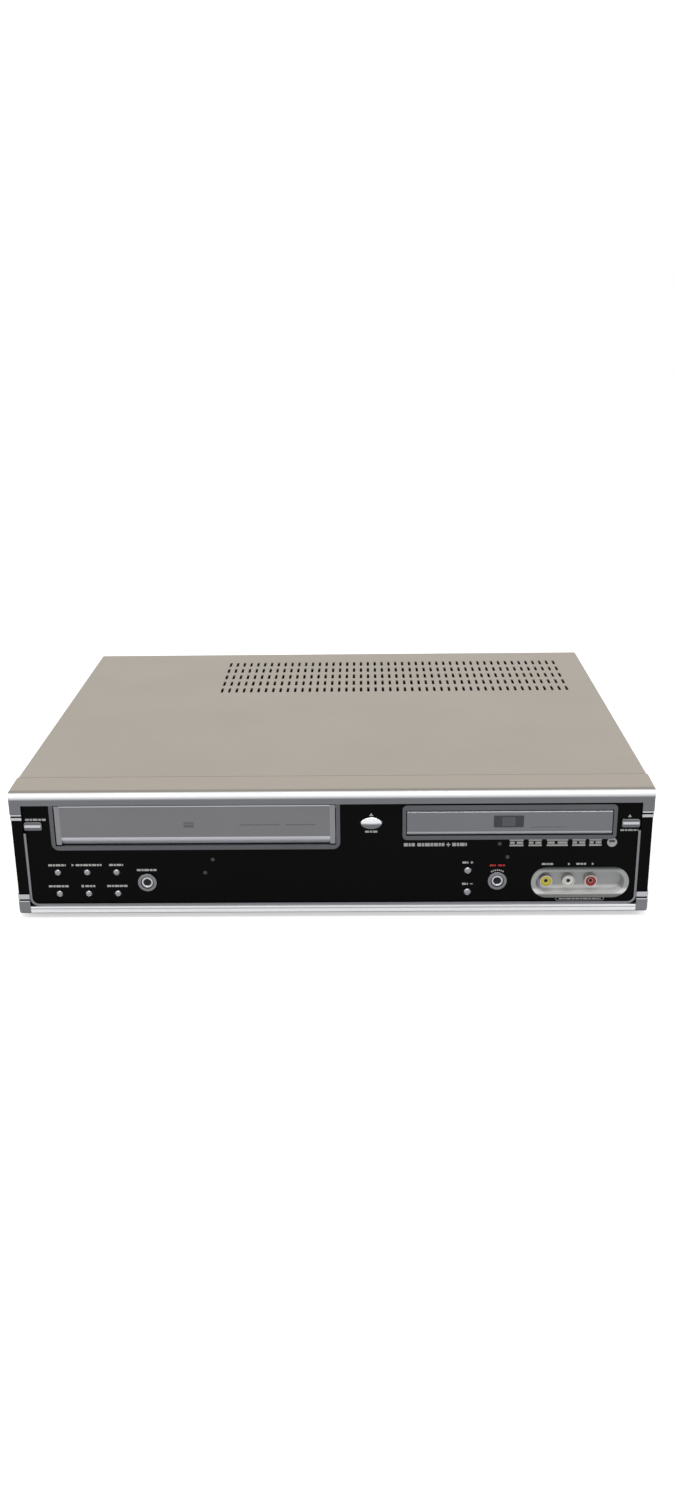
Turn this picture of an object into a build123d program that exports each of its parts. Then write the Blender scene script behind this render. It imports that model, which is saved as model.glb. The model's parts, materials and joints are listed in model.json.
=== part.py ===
from build123d import *

import os
from math import asin, atan, cos, pi, radians, sin, sqrt, tan

# A hi-fi width deck that plays and records discs and video cassettes.
# Millimetres. +Z is up, the front faces -Y, and the origin is on the floor under the middle of the box.
# A depth is measured backwards from the front face of the silver rails.
# An inset is measured inwards from the side edge of the black panel.

# Whole body
case_width = 430.0
case_height = 92.4
body_depth = 347.0
socket_reach = 10.0
half_width = case_width / 2
front_y = -(body_depth + socket_reach) / 2

# What the deck takes
cassette_width = 187.0
cassette_height = 25.0
disc_radius = 60.0
small_disc_radius = 40.0

# Clearances
overrun = 1.0
seam = 0.4
seat_gap = 0.1
shaft_gap = 0.2
slide_gap = 0.3
button_gap = 0.3
press_gap = 0.2
cassette_gap = 0.4
well_gap = 1.0
outlet_gap = 0.4

# Silver rails above and below the panel
rail_depth = 30.0
rail_wall = 2.4
rail_round = 4.8
rail_slope = 1.0
band_height = 9.1
block_drop = 5.9
pillar_width = 8.3
corner_round = 2.5
inner_round_share = 0.3
lip_z = 3.0
lip_height = 6.2
lip_round = 3.2
lip_corner = 4.0
foot_block_height = 9.2
band_z = case_height - band_height
block_z = band_z - block_drop
lip_top = lip_z + lip_height
foot_block_top = lip_z + foot_block_height
panel_half = half_width - pillar_width

# Black front panel
panel_wall = 2.6
panel_top_gap = 0.5
pillar_wall = 2.4
stud_radius = 3.0
stud_drop = 4.0
stud_shares = (-0.96, -0.27, 0.27, 0.6)
panel_face = rail_wall
panel_back = panel_face + panel_wall
panel_top = case_height - rail_slope - rail_wall - rail_round * inner_round_share - panel_top_gap

# Push buttons
button_travel = 0.8
flange_wall = 1.0
flange_lip = 1.2
stem_radius = 1.6
switch_height = 5.0
switch_side = 6.0
upper_row_share = 0.585
lower_row_share = 0.204
function_column_count = 3
function_inset = 20.4
function_pitch = 20.05
function_radius = 2.4
function_dome = 1.6
channel_inset = 114.4
channel_radius = 2.6
channel_dome = 1.6
left_round_inset = 81.2
right_round_inset = 94.4
round_row_share = 0.408
round_radius = 4.1
round_proud = 0.9
dish_depth = 0.9
ring_radius = 6.5
ring_proud = 1.3
ring_edge = 0.5
side_key_gap = 0.7
side_key_drop = 9.3
side_key_width = 12.4
side_key_height = 6.2
side_key_round = 1.5
side_key_proud = 1.6
side_key_edge = 0.7
eject_drop = 14.3
eject_width = 14.6
eject_height = 8.6
eject_proud = 1.8
eject_edge = 1.2
function_x = function_inset - panel_half
channel_x = panel_half - channel_inset
left_round_x = left_round_inset - panel_half
right_round_x = panel_half - right_round_inset
side_key_x = panel_half - side_key_gap - side_key_width / 2
side_key_z = block_z - side_key_drop
eject_z = band_z - eject_drop
flange_face = panel_back + slide_gap

# Chrome corner strips
strip_wall = 0.8
strip_lead = 0.3
thin_strip = 1.1
strip_groove = 1.2
mid_strip = 1.9
tall_strip = 3.6

# Bright outline round the foot of the panel
trim_width = 1.6
trim_proud = 1.2
trim_round = 6.0
trim_key_gap = 2.0
trim_top = side_key_z - side_key_height / 2 - trim_key_gap

# Cassette flap and its surround
door_extra_height = 2.8
door_depth = 6.0
door_wall = 1.7
door_face = 1.2
door_gap = 0.6
door_top_gap = 0.9
door_key_gap = 5.5
door_lean = 2.0
bevel_height = 5.0
door_cheek = 3.4
door_top_depth = 2.8
curl_height = 7.0
hinge_drop = 1.5
hinge_back = 1.4
hinge_radius = 0.9
hinge_reach = 1.8
surround_face = 0.3
surround_side = 2.7
surround_lip = 3.1
surround_round = 5.0
tunnel_wall = 1.8
tunnel_depth = 14.0
door_width = cassette_width + 2 * cassette_gap
door_height = cassette_height + door_extra_height
door_top = band_z - door_top_gap
door_bottom = door_top - door_height
hinge_z = door_top - hinge_drop
hinge_depth = door_face + hinge_back
opening_half = door_width / 2 + door_gap
opening_floor = door_bottom - door_gap
surround_half = opening_half + surround_side
door_x = side_key_width / 2 - side_key_x + door_key_gap + surround_half

# Disc tray front and its surround
tray_rim = 4.0
front_overhang = 3.2
front_height = 16.9
front_drop = 5.6
front_thick = 4.2
front_face = 0.6
front_bevel = 2.2
front_edge = 0.8
front_gap = 0.6
frame_side = 2.4
frame_low = 3.0
frame_high = 3.7
frame_round = 3.0
frame_wall = 1.4
frame_depth = 7.0
frame_key_gap = 3.2
well_radius = disc_radius + well_gap
tray_width = 2 * (well_radius + tray_rim)
front_width = tray_width + 2 * front_overhang
front_top = band_z - front_drop
front_z = front_top - front_height
front_back = front_face + front_thick
frame_half = front_width / 2 + front_gap + frame_side
tray_x = side_key_x - side_key_width / 2 - frame_key_gap - frame_half
eject_x = (door_x + surround_half + tray_x - frame_half) / 2

# Rows of small buttons on the black field between the lower lip and the flap
field_height = opening_floor - surround_lip - lip_top
upper_row_z = lip_top + field_height * upper_row_share
lower_row_z = lip_top + field_height * lower_row_share
round_z = lip_top + field_height * round_row_share

# Sheet metal
cover_sheet = 0.9
cover_low = 8.0
cover_bend = 1.8
chassis_sheet = 1.0
chassis_side_gap = 0.6
pan_gap = 0.6
side_flange = 14.0
rear_flange = 7.5
rear_inset = 2.0
foot_radius = 12.0
foot_edge = 1.0
foot_front_gap = 3.1
foot_rear_gap = 33.1
foot_inset = 43.0
foot_height = lip_z + rail_wall + pan_gap
pan_half = half_width - cover_sheet - chassis_side_gap
pan_top = foot_height + chassis_sheet
rear_face = body_depth - rear_inset
rear_back = rear_face - chassis_sheet
ceiling = case_height - cover_sheet

# Disc tray with its rack
tray_height = 8.5
rack_clear = 0.5
tray_clear = 1.0
disc_front_rim = 10.2
disc_floor = 3.2
small_disc_floor = 2.0
slot_half = 20.0
rack_back = 3.0
rack_gap = 6.05
rack_first = 12.0
rack_margin = 3.0
rack_tail = 10.8
gear_module = 1.0
gear_tooth_count = 22
gear_depth = 24.0
gear_height = 3.6
tooth_slack = 0.2
pressure_angle = 20.0
addendum_share = 1.0
dedendum_share = 1.25
flank_step_count = 5
tray_z = front_z - front_gap + rack_clear + gear_height
tray_top = tray_z + tray_height
disc_floor_z = tray_z + disc_floor
disc_depth = front_back + disc_front_rim + well_radius
tray_travel = disc_depth + well_radius + tray_clear
tray_end = gear_depth + tray_travel + rack_tail

# Disc loader under and round the tray
loader_drop = 16.0
loader_floor = 2.0
loader_wall = 2.6
loader_lead = 0.3
loader_tail = 27.2
ledge_width = 7.0
ledge_wall = 2.0
ledge_lip = 2.0
bridge_rise = 3.2
bridge_sheet = 1.2
bridge_length = 34.0
clamp_radius = 12.0
clamp_gap = 1.0
clamp_flange = 3.5
clamp_flange_wall = 1.6
clamp_clear = 0.8
loader_post_radius = 4.0
loader_post_inset = 9.0
loader_post_setback = 25.7
pulley_height = 3.4
pulley_radius = 12.0
gear_post_radius = 2.0
gear_shoulder = 4.0
motor_offset = 32.2
motor_setback = 20.0
motor_radius = 10.5
motor_height = 16.0
motor_pulley_radius = 4.5
motor_shaft_radius = 1.0
motor_shaft_entry = 4.0
belt_wall = 1.2
belt_width = 2.0
belt_gap = 0.15
spindle_post_radius = 3.0
turntable_radius = 14.5
turntable_wall = 2.4
turntable_rise = 1.2
cone_radius = 7.3
cone_top_radius = 6.2
cone_height = 3.0
rotor_radius = 12.5
rotor_gap = 2.0
rotor_bore_top = 2.0
rod_radius = 1.5
rod_offset = 20.0
rod_rise = 8.0
rod_front = 12.0
lug_length = 4.0
lug_half = 3.2
lug_rise = 3.5
sled_half = 24.0
sled_gap = 2.0
sled_length = 26.0
sled_height = 8.0
sled_travel = 36.0
lens_turret_radius = 4.0
lens_turret_height = 1.5
floor_z = tray_z - loader_drop
floor_top = floor_z + loader_floor
loader_inner = tray_width / 2 + slide_gap
loader_half = loader_inner + loader_wall
loader_top = tray_top + bridge_rise
loader_back = tray_end + loader_tail
rack_offset = loader_inner - ledge_width - rack_gap - rack_back - dedendum_share * gear_module
pitch_radius = gear_module * gear_tooth_count / 2
gear_x = tray_x + rack_offset - pitch_radius
gear_top = tray_z - slide_gap
gear_bottom = gear_top - gear_height
pulley_bottom = gear_bottom - pulley_height
motor_x = gear_x - motor_offset
motor_depth = gear_depth + motor_setback
rod_z = floor_top + rod_rise
rod_start = disc_depth + rod_front
rod_end = rod_start + 2 * (lug_length + sled_gap) + sled_length + sled_travel
turntable_top = disc_floor_z + turntable_rise
spindle_post_top = turntable_top - turntable_wall - rotor_bore_top

# Indicator lenses, two in a slanting row on each side
lens_radius = 1.3
lens_proud = 0.3
lens_depth = 7.0
lens_fall = 9.7
lens_step = 5.6
left_lens_inset = 126.6
left_lens_drop = 11.1
right_lens_inset = 93.5
right_lens_drop = 7.5
left_lens_x = left_lens_inset - panel_half
left_lens_z = opening_floor - left_lens_drop
right_lens_x = panel_half - right_lens_inset
right_lens_z = front_z - right_lens_drop

# Front circuit board and display behind the panel
board_face = 16.0
board_wall = 1.6
board_side_gap = 2.7
board_low_gap = 2.0
board_floor_gap = 1.0
ear_rise = 7.0
side_ear = 14.0
eject_ear = 26.0
display_width = 96.0
display_height = 20.0
display_depth = 8.0
display_share = 0.451
jack_block_height = 13.0
jack_block_margin = 4.0
board_half = panel_half - board_side_gap
board_low = pan_top + board_low_gap
board_high = floor_z - board_floor_gap
display_z = lip_top + field_height * display_share
stem_end = board_face - switch_height - button_travel - press_gap

# Front socket dish and its phono sockets
pocket_side_gap = 5.5
pocket_low_share = 0.16367
pocket_width = 66.0
pocket_height = 22.4
pocket_rim = 1.6
pocket_proud = 1.0
pocket_back = 9.0
pocket_floor = 1.6
pocket_flange = 1.4
pocket_slope = 12.0
jack_colours = ("yellow", "white", "red")
jack_lead = 22.7
jack_pitch = 15.1
jack_rise = 0.3
sleeve_radius = 4.15
sleeve_wall = 0.6
sleeve_front = 2.8
contact_radius = 1.6
insulator_back = 0.8
pocket_x = panel_half - pocket_side_gap - pocket_width / 2
pocket_room = field_height - trim_width - pocket_height
pocket_z = lip_top + trim_width + pocket_room * pocket_low_share + pocket_height / 2
loader_front = pocket_back + loader_lead
jack_x = pocket_x - jack_lead
jack_z = pocket_z + jack_rise

# Vent slots in the cover
vent_column_count = 48
vent_row_count = 5
vent_pitch = 6.055
vent_row_pitch = 19.7
vent_side = 24.8
vent_rear = 72.6
vent_length = 12.5
vent_width = 2.1
vent_x = half_width - vent_side - (vent_column_count - 1) * vent_pitch / 2
vent_depth = body_depth - vent_rear

# Case screws
head_radius = 3.0
head_height = 1.3
shank_radius = 1.4
shank_length = 5.0
cross_length = 3.6
cross_width = 0.8
cross_depth = 0.7
side_screw_rise = 8.0
rear_screw_rise = 4.0
side_screw_shares = (0.3, 0.8)
rear_screw_shares = (-0.95, -0.28, 0.2, 0.95)

# Circuit boards on short posts
standoff_radius = 3.5
standoff_height = 6.0
boards_depth = 80.0
boards_rear_gap = 8.0
boards_side_gap = 7.5
main_width = 230.0
power_width = 144.0
boards_inset = 6.0
chip_side = 24.0
chip_height = 3.0
chip_x_shares = (0.2, 0.5, 0.62)
transformer_width = 44.0
transformer_depth = 36.0
transformer_height = 32.0
capacitor_count = 2
capacitor_radius = 9.0
capacitor_height = 34.0
capacitor_pitch = 22.0
heat_sink_width = 50.0
heat_sink_wall = 3.0
heat_sink_height = 36.0
boards_z = pan_top + standoff_height
boards_top = boards_z + board_wall
boards_rear = rear_back - boards_rear_gap
boards_front = boards_rear - boards_depth
main_right = pan_half - boards_side_gap
main_left = main_right - main_width
power_left = -main_right
power_right = power_left + power_width

# Rear sockets
tuner_side_gap = 7.0
tuner_width = 46.0
tuner_height = 40.0
tuner_length = 62.0
tuner_wall = 1.0
aerial_radius = 6.4
aerial_bore = 4.8
aerial_bore_depth = 9.0
aerial_z_shares = (0.27, 0.73)
scart_tuner_gap = 5.0
scart_gap = 10.0
scart_width = 48.0
scart_height = 16.0
scart_proud = 5.0
scart_inner = 18.0
scart_wall = 2.2
scart_cavity = 10.0
block_gap = 14.0
block_width = 48.0
block_height = 34.0
block_thick = 12.0
block_proud = 1.0
rear_jack_length = 8.0
rear_jack_x_share = 0.3
rear_jack_z_share = 0.25
inlet_inset = 38.0
inlet_rise = 19.4
inlet_width = 26.0
inlet_height = 17.0
inlet_flange = 2.0
inlet_body_depth = 15.0
inlet_wall = 4.5
inlet_cavity = 11.0
inlet_pin_radius = 1.2
inlet_pin_pitch = 8.6
inlet_pin_length = 8.0
tuner_x = main_right - tuner_side_gap - tuner_width / 2
second_scart_x = tuner_x - tuner_width / 2 - scart_tuner_gap - scart_width / 2
first_scart_x = second_scart_x - scart_width - scart_gap
block_x = first_scart_x - scart_width / 2 - block_gap - block_width / 2
inlet_x = power_left + inlet_inset
inlet_z = boards_top + inlet_rise

# Lift that carries the cassette in and down
holder_sheet = 1.0
holder_setback = 20.0
holder_length = 68.0
holder_ledge = 14.0
holder_hook = 7.0
holder_strip = 10.0
holder_drop = 17.0
slider_sheet = 1.1
slider_setback = 22.0
slider_length = 46.0
slider_bar = 9.0
slider_bar_gap = 0.7
slider_bar_wall = 1.5
lift_sheet = 1.2
lift_setback = 2.0
lift_tail = 14.0
strap_setback = 30.0
strap_length = 26.0
strap_gap = 0.6
holder_inner = cassette_width / 2 + cassette_gap
holder_half = holder_inner + holder_sheet
holder_front = tunnel_depth + holder_setback
holder_back = holder_front + holder_length
slider_half = holder_half + slide_gap
slider_front = holder_front + slider_setback
slider_back = slider_front + slider_length
slider_low = opening_floor - holder_drop
lift_half = slider_half + slider_sheet + slide_gap
lift_front = holder_front + lift_setback
strap_front = lift_front + strap_setback
holder_top = opening_floor + cassette_height + cassette_gap + holder_sheet
bar_low = holder_top + slider_bar_gap
strap_low = bar_low + slider_bar_wall + strap_gap

# Tape deck plate, reels, drum and capstan
deck_rise = 10.0
deck_sheet = 1.5
deck_margin = 1.4
deck_boards_gap = 6.0
deck_post_radius = 4.0
deck_post_inset = 12.0
reel_spacing = 92.0
reel_lead = 78.0
reel_setback = 42.0
reel_radius = 16.0
reel_rise = 1.0
reel_height = 3.5
spindle_radius = 4.2
spindle_height = 15.0
spindle_fin = 1.6
spindle_fin_width = 1.2
spindle_fin_count = 3
reel_shaft_radius = 2.0
reel_shaft_length = 6.0
drum_setback = 36.0
drum_radius = 31.0
drum_tilt = 5.0
lower_drum_height = 20.0
upper_drum_height = 17.0
drum_gap = 0.4
drum_hub_radius = 14.0
drum_hub_height = 3.0
drum_foot_radius = 34.0
drum_foot_height = 3.0
drum_shaft_radius = 3.0
drum_shaft_length = 12.0
capstan_offset = 50.9
capstan_lead = 30.0
capstan_radius = 2.0
capstan_rise = 30.0
flywheel_radius = 22.0
flywheel_height = 5.0
flywheel_gap = 2.0
guide_radius = 2.5
guide_height = 26.0
guide_x_shares = (-0.72, -0.45, 0.28, 0.72)
guide_lead = 24.0
deck_half = lift_half + lift_sheet + deck_margin
deck_z = pan_top + deck_rise
deck_top = deck_z + deck_sheet
deck_front = holder_front
deck_back = boards_front - deck_boards_gap
drum_depth = deck_back - drum_setback
reel_depth = drum_depth - reel_lead
slide_travel = reel_depth - holder_front - reel_setback
lift_back = slider_back + slide_travel + lift_tail
capstan_x = door_x + capstan_offset
capstan_depth = drum_depth - capstan_lead
guide_depth = drum_depth - guide_lead

quarter_turn = 90
corner_align = (Align.MIN, Align.MIN, Align.MIN)
standing_align = (Align.CENTER, Align.CENTER, Align.MIN)


def at(depth):
    return front_y + depth


def block(x0, x1, depth0, depth1, z0, z1):
    return Pos(x0, at(depth0), z0) * Box(x1 - x0, depth1 - depth0, z1 - z0, align=corner_align)


def post(x, depth, radius, z0, z1):
    return Pos(x, at(depth), z0) * Cylinder(radius, z1 - z0, align=standing_align)


def peg(x, z, radius, depth0, depth1):
    turn = Rot(-quarter_turn, 0, 0)
    return Pos(x, at(depth0), z) * turn * Cylinder(radius, depth1 - depth0, align=standing_align)


def pin(depth, z, radius, x0, x1):
    turn = Rot(0, quarter_turn, 0)
    return Pos(x0, at(depth), z) * turn * Cylinder(radius, x1 - x0, align=standing_align)


def slab(sketch, depth0, depth1):
    return extrude(Plane.XZ.offset(-at(depth1)) * sketch, amount=depth1 - depth0, dir=(0, -1, 0))


def run_along(sketch, x0, x1):
    return extrude(Plane.YZ.offset(x0) * sketch, amount=x1 - x0, dir=(1, 0, 0))


def layer(sketch, z0, z1):
    return extrude(Plane.XY.offset(z0) * sketch, amount=z1 - z0, dir=(0, 0, 1))


def rounded(points, corners):
    face = Polygon(*points)
    for index, radius in corners.items():
        face = fillet(face.vertices().sort_by_distance(points[index])[0], radius)
    return face


# Silver rails
def plan_outline(inset, back):
    side = half_width - inset
    points = [(-side, at(inset)), (side, at(inset)), (side, at(back)), (-side, at(back))]
    radius = corner_round if inset == 0 else corner_round * inner_round_share
    return rounded(points, {0: radius, 1: radius})


def cap_profile(inset, reach, foot):
    top = case_height - inset
    points = [(at(inset), foot), (at(reach), foot), (at(reach), top), (at(inset), top - rail_slope)]
    radius = rail_round if inset == 0 else rail_round * inner_round_share
    return rounded(points, {3: radius})


def cup_profile(inset, reach, brim):
    floor = lip_z + inset
    points = [(at(inset), floor), (at(reach), floor), (at(reach), brim), (at(inset), brim)]
    radius = lip_round if inset == 0 else lip_round * inner_round_share
    return rounded(points, {0: radius})


def top_rail():
    outer = run_along(cap_profile(0, rail_depth, block_z), -half_width, half_width)
    outer = outer & layer(plan_outline(0, rail_depth), block_z, case_height)
    reach = rail_depth + overrun
    foot = block_z - overrun
    side = half_width - rail_wall
    core = run_along(cap_profile(rail_wall, reach, foot), -side, side)
    core = core & layer(plan_outline(rail_wall, reach), foot, case_height)
    window = block(-panel_half, panel_half, -overrun, reach, foot, band_z)
    return outer - core - window


def bottom_rail():
    outer = run_along(cup_profile(0, rail_depth, foot_block_top), -half_width, half_width)
    outer = outer & layer(plan_outline(0, rail_depth), lip_z, foot_block_top)
    view = [(-half_width, lip_z), (half_width, lip_z)]
    view += [(half_width, foot_block_top), (-half_width, foot_block_top)]
    outer = outer & slab(rounded(view, {0: lip_corner, 1: lip_corner}), 0, rail_depth)
    reach = rail_depth + overrun
    brim = foot_block_top + overrun
    side = half_width - rail_wall
    core = run_along(cup_profile(rail_wall, reach, brim), -side, side)
    core = core & layer(plan_outline(rail_wall, reach), lip_z, brim)
    window = block(-panel_half, panel_half, -overrun, reach, lip_top, brim)
    return outer - core - window


def side_shell(inset, wall, z0, z1):
    shell = layer(plan_outline(inset, rail_depth), z0, z1)
    shell -= layer(plan_outline(inset + wall, rail_depth + overrun), z0, z1)
    return shell - block(-panel_half, panel_half, -overrun, rail_depth + overrun, z0, z1)


def corner_strips():
    wall = strip_wall - seat_gap / 2
    upper = block_z - strip_lead
    lower = foot_block_top + strip_lead
    second = lower + thin_strip + strip_groove
    strips = side_shell(0, wall, upper - thin_strip, upper)
    upper -= thin_strip + strip_groove
    strips += side_shell(0, wall, upper - mid_strip, upper)
    strips += side_shell(0, wall, lower, lower + thin_strip)
    strips += side_shell(0, wall, second, second + tall_strip)
    return strips


def panel_trim():
    height = trim_top - lip_top + trim_round
    outer = Pos(0, lip_top + height / 2) * RectangleRounded(2 * panel_half, height, trim_round)
    inner_height = height - 2 * trim_width
    inner_round = trim_round - trim_width
    inner = Pos(0, lip_top + height / 2)
    inner = inner * RectangleRounded(2 * (panel_half - trim_width), inner_height, inner_round)
    loop = slab(outer - inner, panel_face - trim_proud, panel_face)
    return loop - block(-half_width, half_width, 0, panel_back, trim_top, trim_top + height)


# Black front panel and everything that passes through it
def function_places():
    columns = [function_x + column * function_pitch for column in range(function_column_count)]
    return [(x, z) for z in (upper_row_z, lower_row_z) for x in columns]


def round_places():
    return [(left_round_x, round_z), (right_round_x, round_z)]


def channel_places():
    return [(channel_x, upper_row_z), (channel_x, lower_row_z)]


def switch_places():
    places = function_places() + channel_places() + round_places()
    return places + [(-side_key_x, side_key_z), (side_key_x, side_key_z), (eject_x, eject_z)]


def lens_places():
    left = [(left_lens_x, left_lens_z), (left_lens_x - lens_step, left_lens_z - lens_fall)]
    right = [(right_lens_x, right_lens_z), (right_lens_x + lens_step, right_lens_z - lens_fall)]
    return left + right


def panel_holes():
    far = panel_back + overrun
    near = panel_face - panel_wall
    cuts = [peg(x, z, function_radius + button_gap, near, far) for x, z in function_places()]
    cuts += [peg(x, z, channel_radius + button_gap, near, far) for x, z in channel_places()]
    cuts += [peg(x, z, round_radius + button_gap, near, far) for x, z in round_places()]
    cuts += [peg(x, z, lens_radius + seat_gap, near, far) for x, z in lens_places()]
    room = 2 * button_gap
    key = RectangleRounded(side_key_width + room, side_key_height + room, side_key_round)
    cuts += [slab(Pos(x, side_key_z) * key, near, far) for x in (-side_key_x, side_key_x)]
    eject = Ellipse(eject_width / 2 + button_gap, eject_height / 2 + button_gap)
    cuts.append(slab(Pos(eject_x, eject_z) * eject, near, far))
    dish = SlotOverall(pocket_width - 2 * pocket_rim, pocket_height - 2 * pocket_rim)
    cuts.append(slab(Pos(pocket_x, pocket_z) * dish, near, far))
    side = opening_half + tunnel_wall + seat_gap
    floor = opening_floor - tunnel_wall - seat_gap
    cuts.append(block(door_x - side, door_x + side, near, far, floor, band_z + slide_gap))
    side = front_width / 2 + front_gap + frame_wall + seat_gap
    floor = front_z - front_gap - frame_wall - seat_gap
    roof = front_top + front_gap + frame_wall + seat_gap
    cuts.append(block(tray_x - side, tray_x + side, near, far, floor, roof))
    return cuts


def front_panel():
    side = half_width - rail_wall - corner_round * inner_round_share
    low = lip_z + rail_wall + lip_round * inner_round_share
    plate = block(-side, side, panel_face, panel_back, low, panel_top)
    plate += side_shell(strip_wall, pillar_wall, foot_block_top, block_z)
    stud_z = board_high - stud_drop
    plate += [peg(panel_half * share, stud_z, stud_radius, panel_back, board_face) for share in stud_shares]
    return plate - panel_holes()


# Cassette flap and surround
def cassette_surround():
    low = opening_floor - surround_lip
    points = [(door_x - surround_half, low), (door_x + surround_half, low)]
    points += [(door_x + surround_half, band_z), (door_x - surround_half, band_z)]
    ring = slab(rounded(points, {0: surround_round, 1: surround_round}), surround_face, panel_face)
    side = opening_half + tunnel_wall
    floor = opening_floor - tunnel_wall
    tunnel = block(door_x - side, door_x + side, panel_face, tunnel_depth, floor, band_z)
    mouth = block(
        door_x - opening_half, door_x + opening_half,
        0, tunnel_depth + overrun, opening_floor, band_z + overrun,
    )
    bore = hinge_radius + shaft_gap
    reach = door_width / 2 + hinge_reach + shaft_gap
    return ring + tunnel - mouth - pin(hinge_depth, hinge_z, bore, door_x - reach, door_x + reach)


def door_profile(front, top_depth, depth, low, lean):
    points = [(at(front + lean), low), (at(depth), low), (at(depth), door_bottom + curl_height)]
    points += [(at(top_depth), door_top), (at(front), door_top)]
    if lean:
        points.append((at(front), low + bevel_height))
    return Polygon(*points)


def cassette_door():
    half = door_width / 2
    back = door_face + door_depth
    top_back = door_face + door_top_depth
    square = door_profile(door_face, top_back, back, door_bottom, 0)
    curled = door_profile(door_face, top_back, back, door_bottom, door_lean)
    inner = half - door_cheek
    flap = run_along(curled, door_x - inner, door_x + inner)
    hollow = door_profile(
        door_face + door_wall, top_back + overrun, back + overrun,
        door_bottom + door_wall, door_lean,
    )
    flap -= run_along(hollow, door_x - inner, door_x + inner)
    flap += run_along(square, door_x - half, door_x - inner)
    flap += run_along(square, door_x + inner, door_x + half)
    reach = half + hinge_reach
    flap += pin(hinge_depth, hinge_z, hinge_radius, door_x - reach, door_x - inner)
    return flap + pin(hinge_depth, hinge_z, hinge_radius, door_x + inner, door_x + reach)


# Disc tray front and surround
def tray_surround():
    half = front_width / 2 + front_gap
    low = front_z - front_gap
    high = front_top + front_gap
    height = high - low + frame_low + frame_high
    centre = (low - frame_low + high + frame_high) / 2
    outline = RectangleRounded(2 * frame_half, height, frame_round)
    ring = slab(Pos(tray_x, centre) * outline, surround_face, panel_face)
    side = half + frame_wall
    floor = low - frame_wall
    tunnel = block(tray_x - side, tray_x + side, panel_face, frame_depth, floor, high + frame_wall)
    return ring + tunnel - block(tray_x - half, tray_x + half, 0, frame_depth + overrun, low, high)


def tray_front():
    bevel_back = front_face + front_edge
    points = [(at(bevel_back), front_z), (at(front_back), front_z), (at(front_back), front_top)]
    points += [(at(bevel_back), front_top), (at(front_face), front_top - front_edge)]
    points += [(at(front_face), front_z + front_bevel)]
    return run_along(Polygon(*points), tray_x - front_width / 2, tray_x + front_width / 2)


# Push buttons
def crown_arc(radius, middle, edge):
    rise = edge - middle
    ball = (radius * radius + rise * rise) / (2 * rise)
    half_angle = asin(radius / ball) / 2
    between = (ball * sin(half_angle), middle + ball - ball * cos(half_angle))
    return ThreePointArc((0, middle), between, (radius, edge))


def turned_button(x, z, radius, middle, edge):
    back = flange_face + flange_wall
    brim = radius + flange_lip
    side = Polyline(
        (radius, edge), (radius, flange_face), (brim, flange_face), (brim, back),
        (stem_radius, back), (stem_radius, stem_end), (0, stem_end), (0, middle),
    )
    outline = make_face(crown_arc(radius, middle, edge).edges() + side.edges())
    return Pos(x, at(0), z) * revolve(outline, Axis.Y)


def domed_button(x, z, radius, dome):
    return turned_button(x, z, radius, panel_face - dome, panel_face)


def dished_button(x, z):
    edge = panel_face - round_proud
    return turned_button(x, z, round_radius, edge + dish_depth, edge)


def shaped_button(x, z, outline, flange, proud, edge):
    cap = slab(Pos(x, z) * outline, panel_face - proud, flange_face)
    cap = fillet(cap.faces().sort_by(Axis.Y)[0].edges(), edge)
    cap += slab(Pos(x, z) * flange, flange_face, flange_face + flange_wall)
    return cap + peg(x, z, stem_radius, flange_face, stem_end)


def side_key(x):
    outline = RectangleRounded(side_key_width, side_key_height, side_key_round)
    flange = Rectangle(side_key_width, side_key_height + 2 * flange_lip)
    return shaped_button(x, side_key_z, outline, flange, side_key_proud, side_key_edge)


def eject_button():
    outline = Ellipse(eject_width / 2, eject_height / 2)
    flange = Ellipse(eject_width / 2 + flange_lip, eject_height / 2 + flange_lip)
    return shaped_button(eject_x, eject_z, outline, flange, eject_proud, eject_edge)


def button_rings():
    rings = []
    for x, z in round_places():
        ring = peg(x, z, ring_radius, panel_face - ring_proud, panel_face)
        ring = fillet(ring.faces().sort_by(Axis.Y)[0].edges(), ring_edge)
        rings.append(ring - peg(x, z, round_radius + button_gap, 0, panel_back))
    return Compound(rings)


def indicator_lenses():
    return Compound([peg(x, z, lens_radius, panel_face - lens_proud, lens_depth) for x, z in lens_places()])


# Front socket dish
def jack_places():
    return [jack_x + place * jack_pitch for place in range(len(jack_colours))]


def pill(margin):
    outline = SlotOverall(pocket_width - 2 * margin, pocket_height - 2 * margin)
    return Pos(pocket_x, pocket_z) * outline


def av_pocket():
    front = panel_face - pocket_proud
    body_margin = pocket_rim + seat_gap
    dish = slab(pill(0), front, panel_face) + slab(pill(body_margin), panel_face, pocket_back)
    hollow = extrude(
        Plane.XZ.offset(-at(front)) * pill(body_margin + pocket_flange),
        amount=pocket_back - pocket_floor - front, dir=(0, 1, 0), taper=pocket_slope,
    )
    bore = sleeve_radius + seat_gap
    return dish - hollow - [peg(x, jack_z, bore, front, pocket_back + overrun) for x in jack_places()]


def jack_sleeves():
    sleeves = []
    for x in jack_places():
        sleeve = peg(x, jack_z, sleeve_radius, sleeve_front, pocket_back)
        sleeves.append(sleeve - peg(x, jack_z, sleeve_radius - sleeve_wall, 0, pocket_back + overrun))
    return Compound(sleeves)


def jack_core(x):
    radius = sleeve_radius - sleeve_wall - seat_gap
    core = peg(x, jack_z, radius, sleeve_front + insulator_back, pocket_back)
    return core - peg(x, jack_z, contact_radius, 0, pocket_back + overrun)


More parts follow.
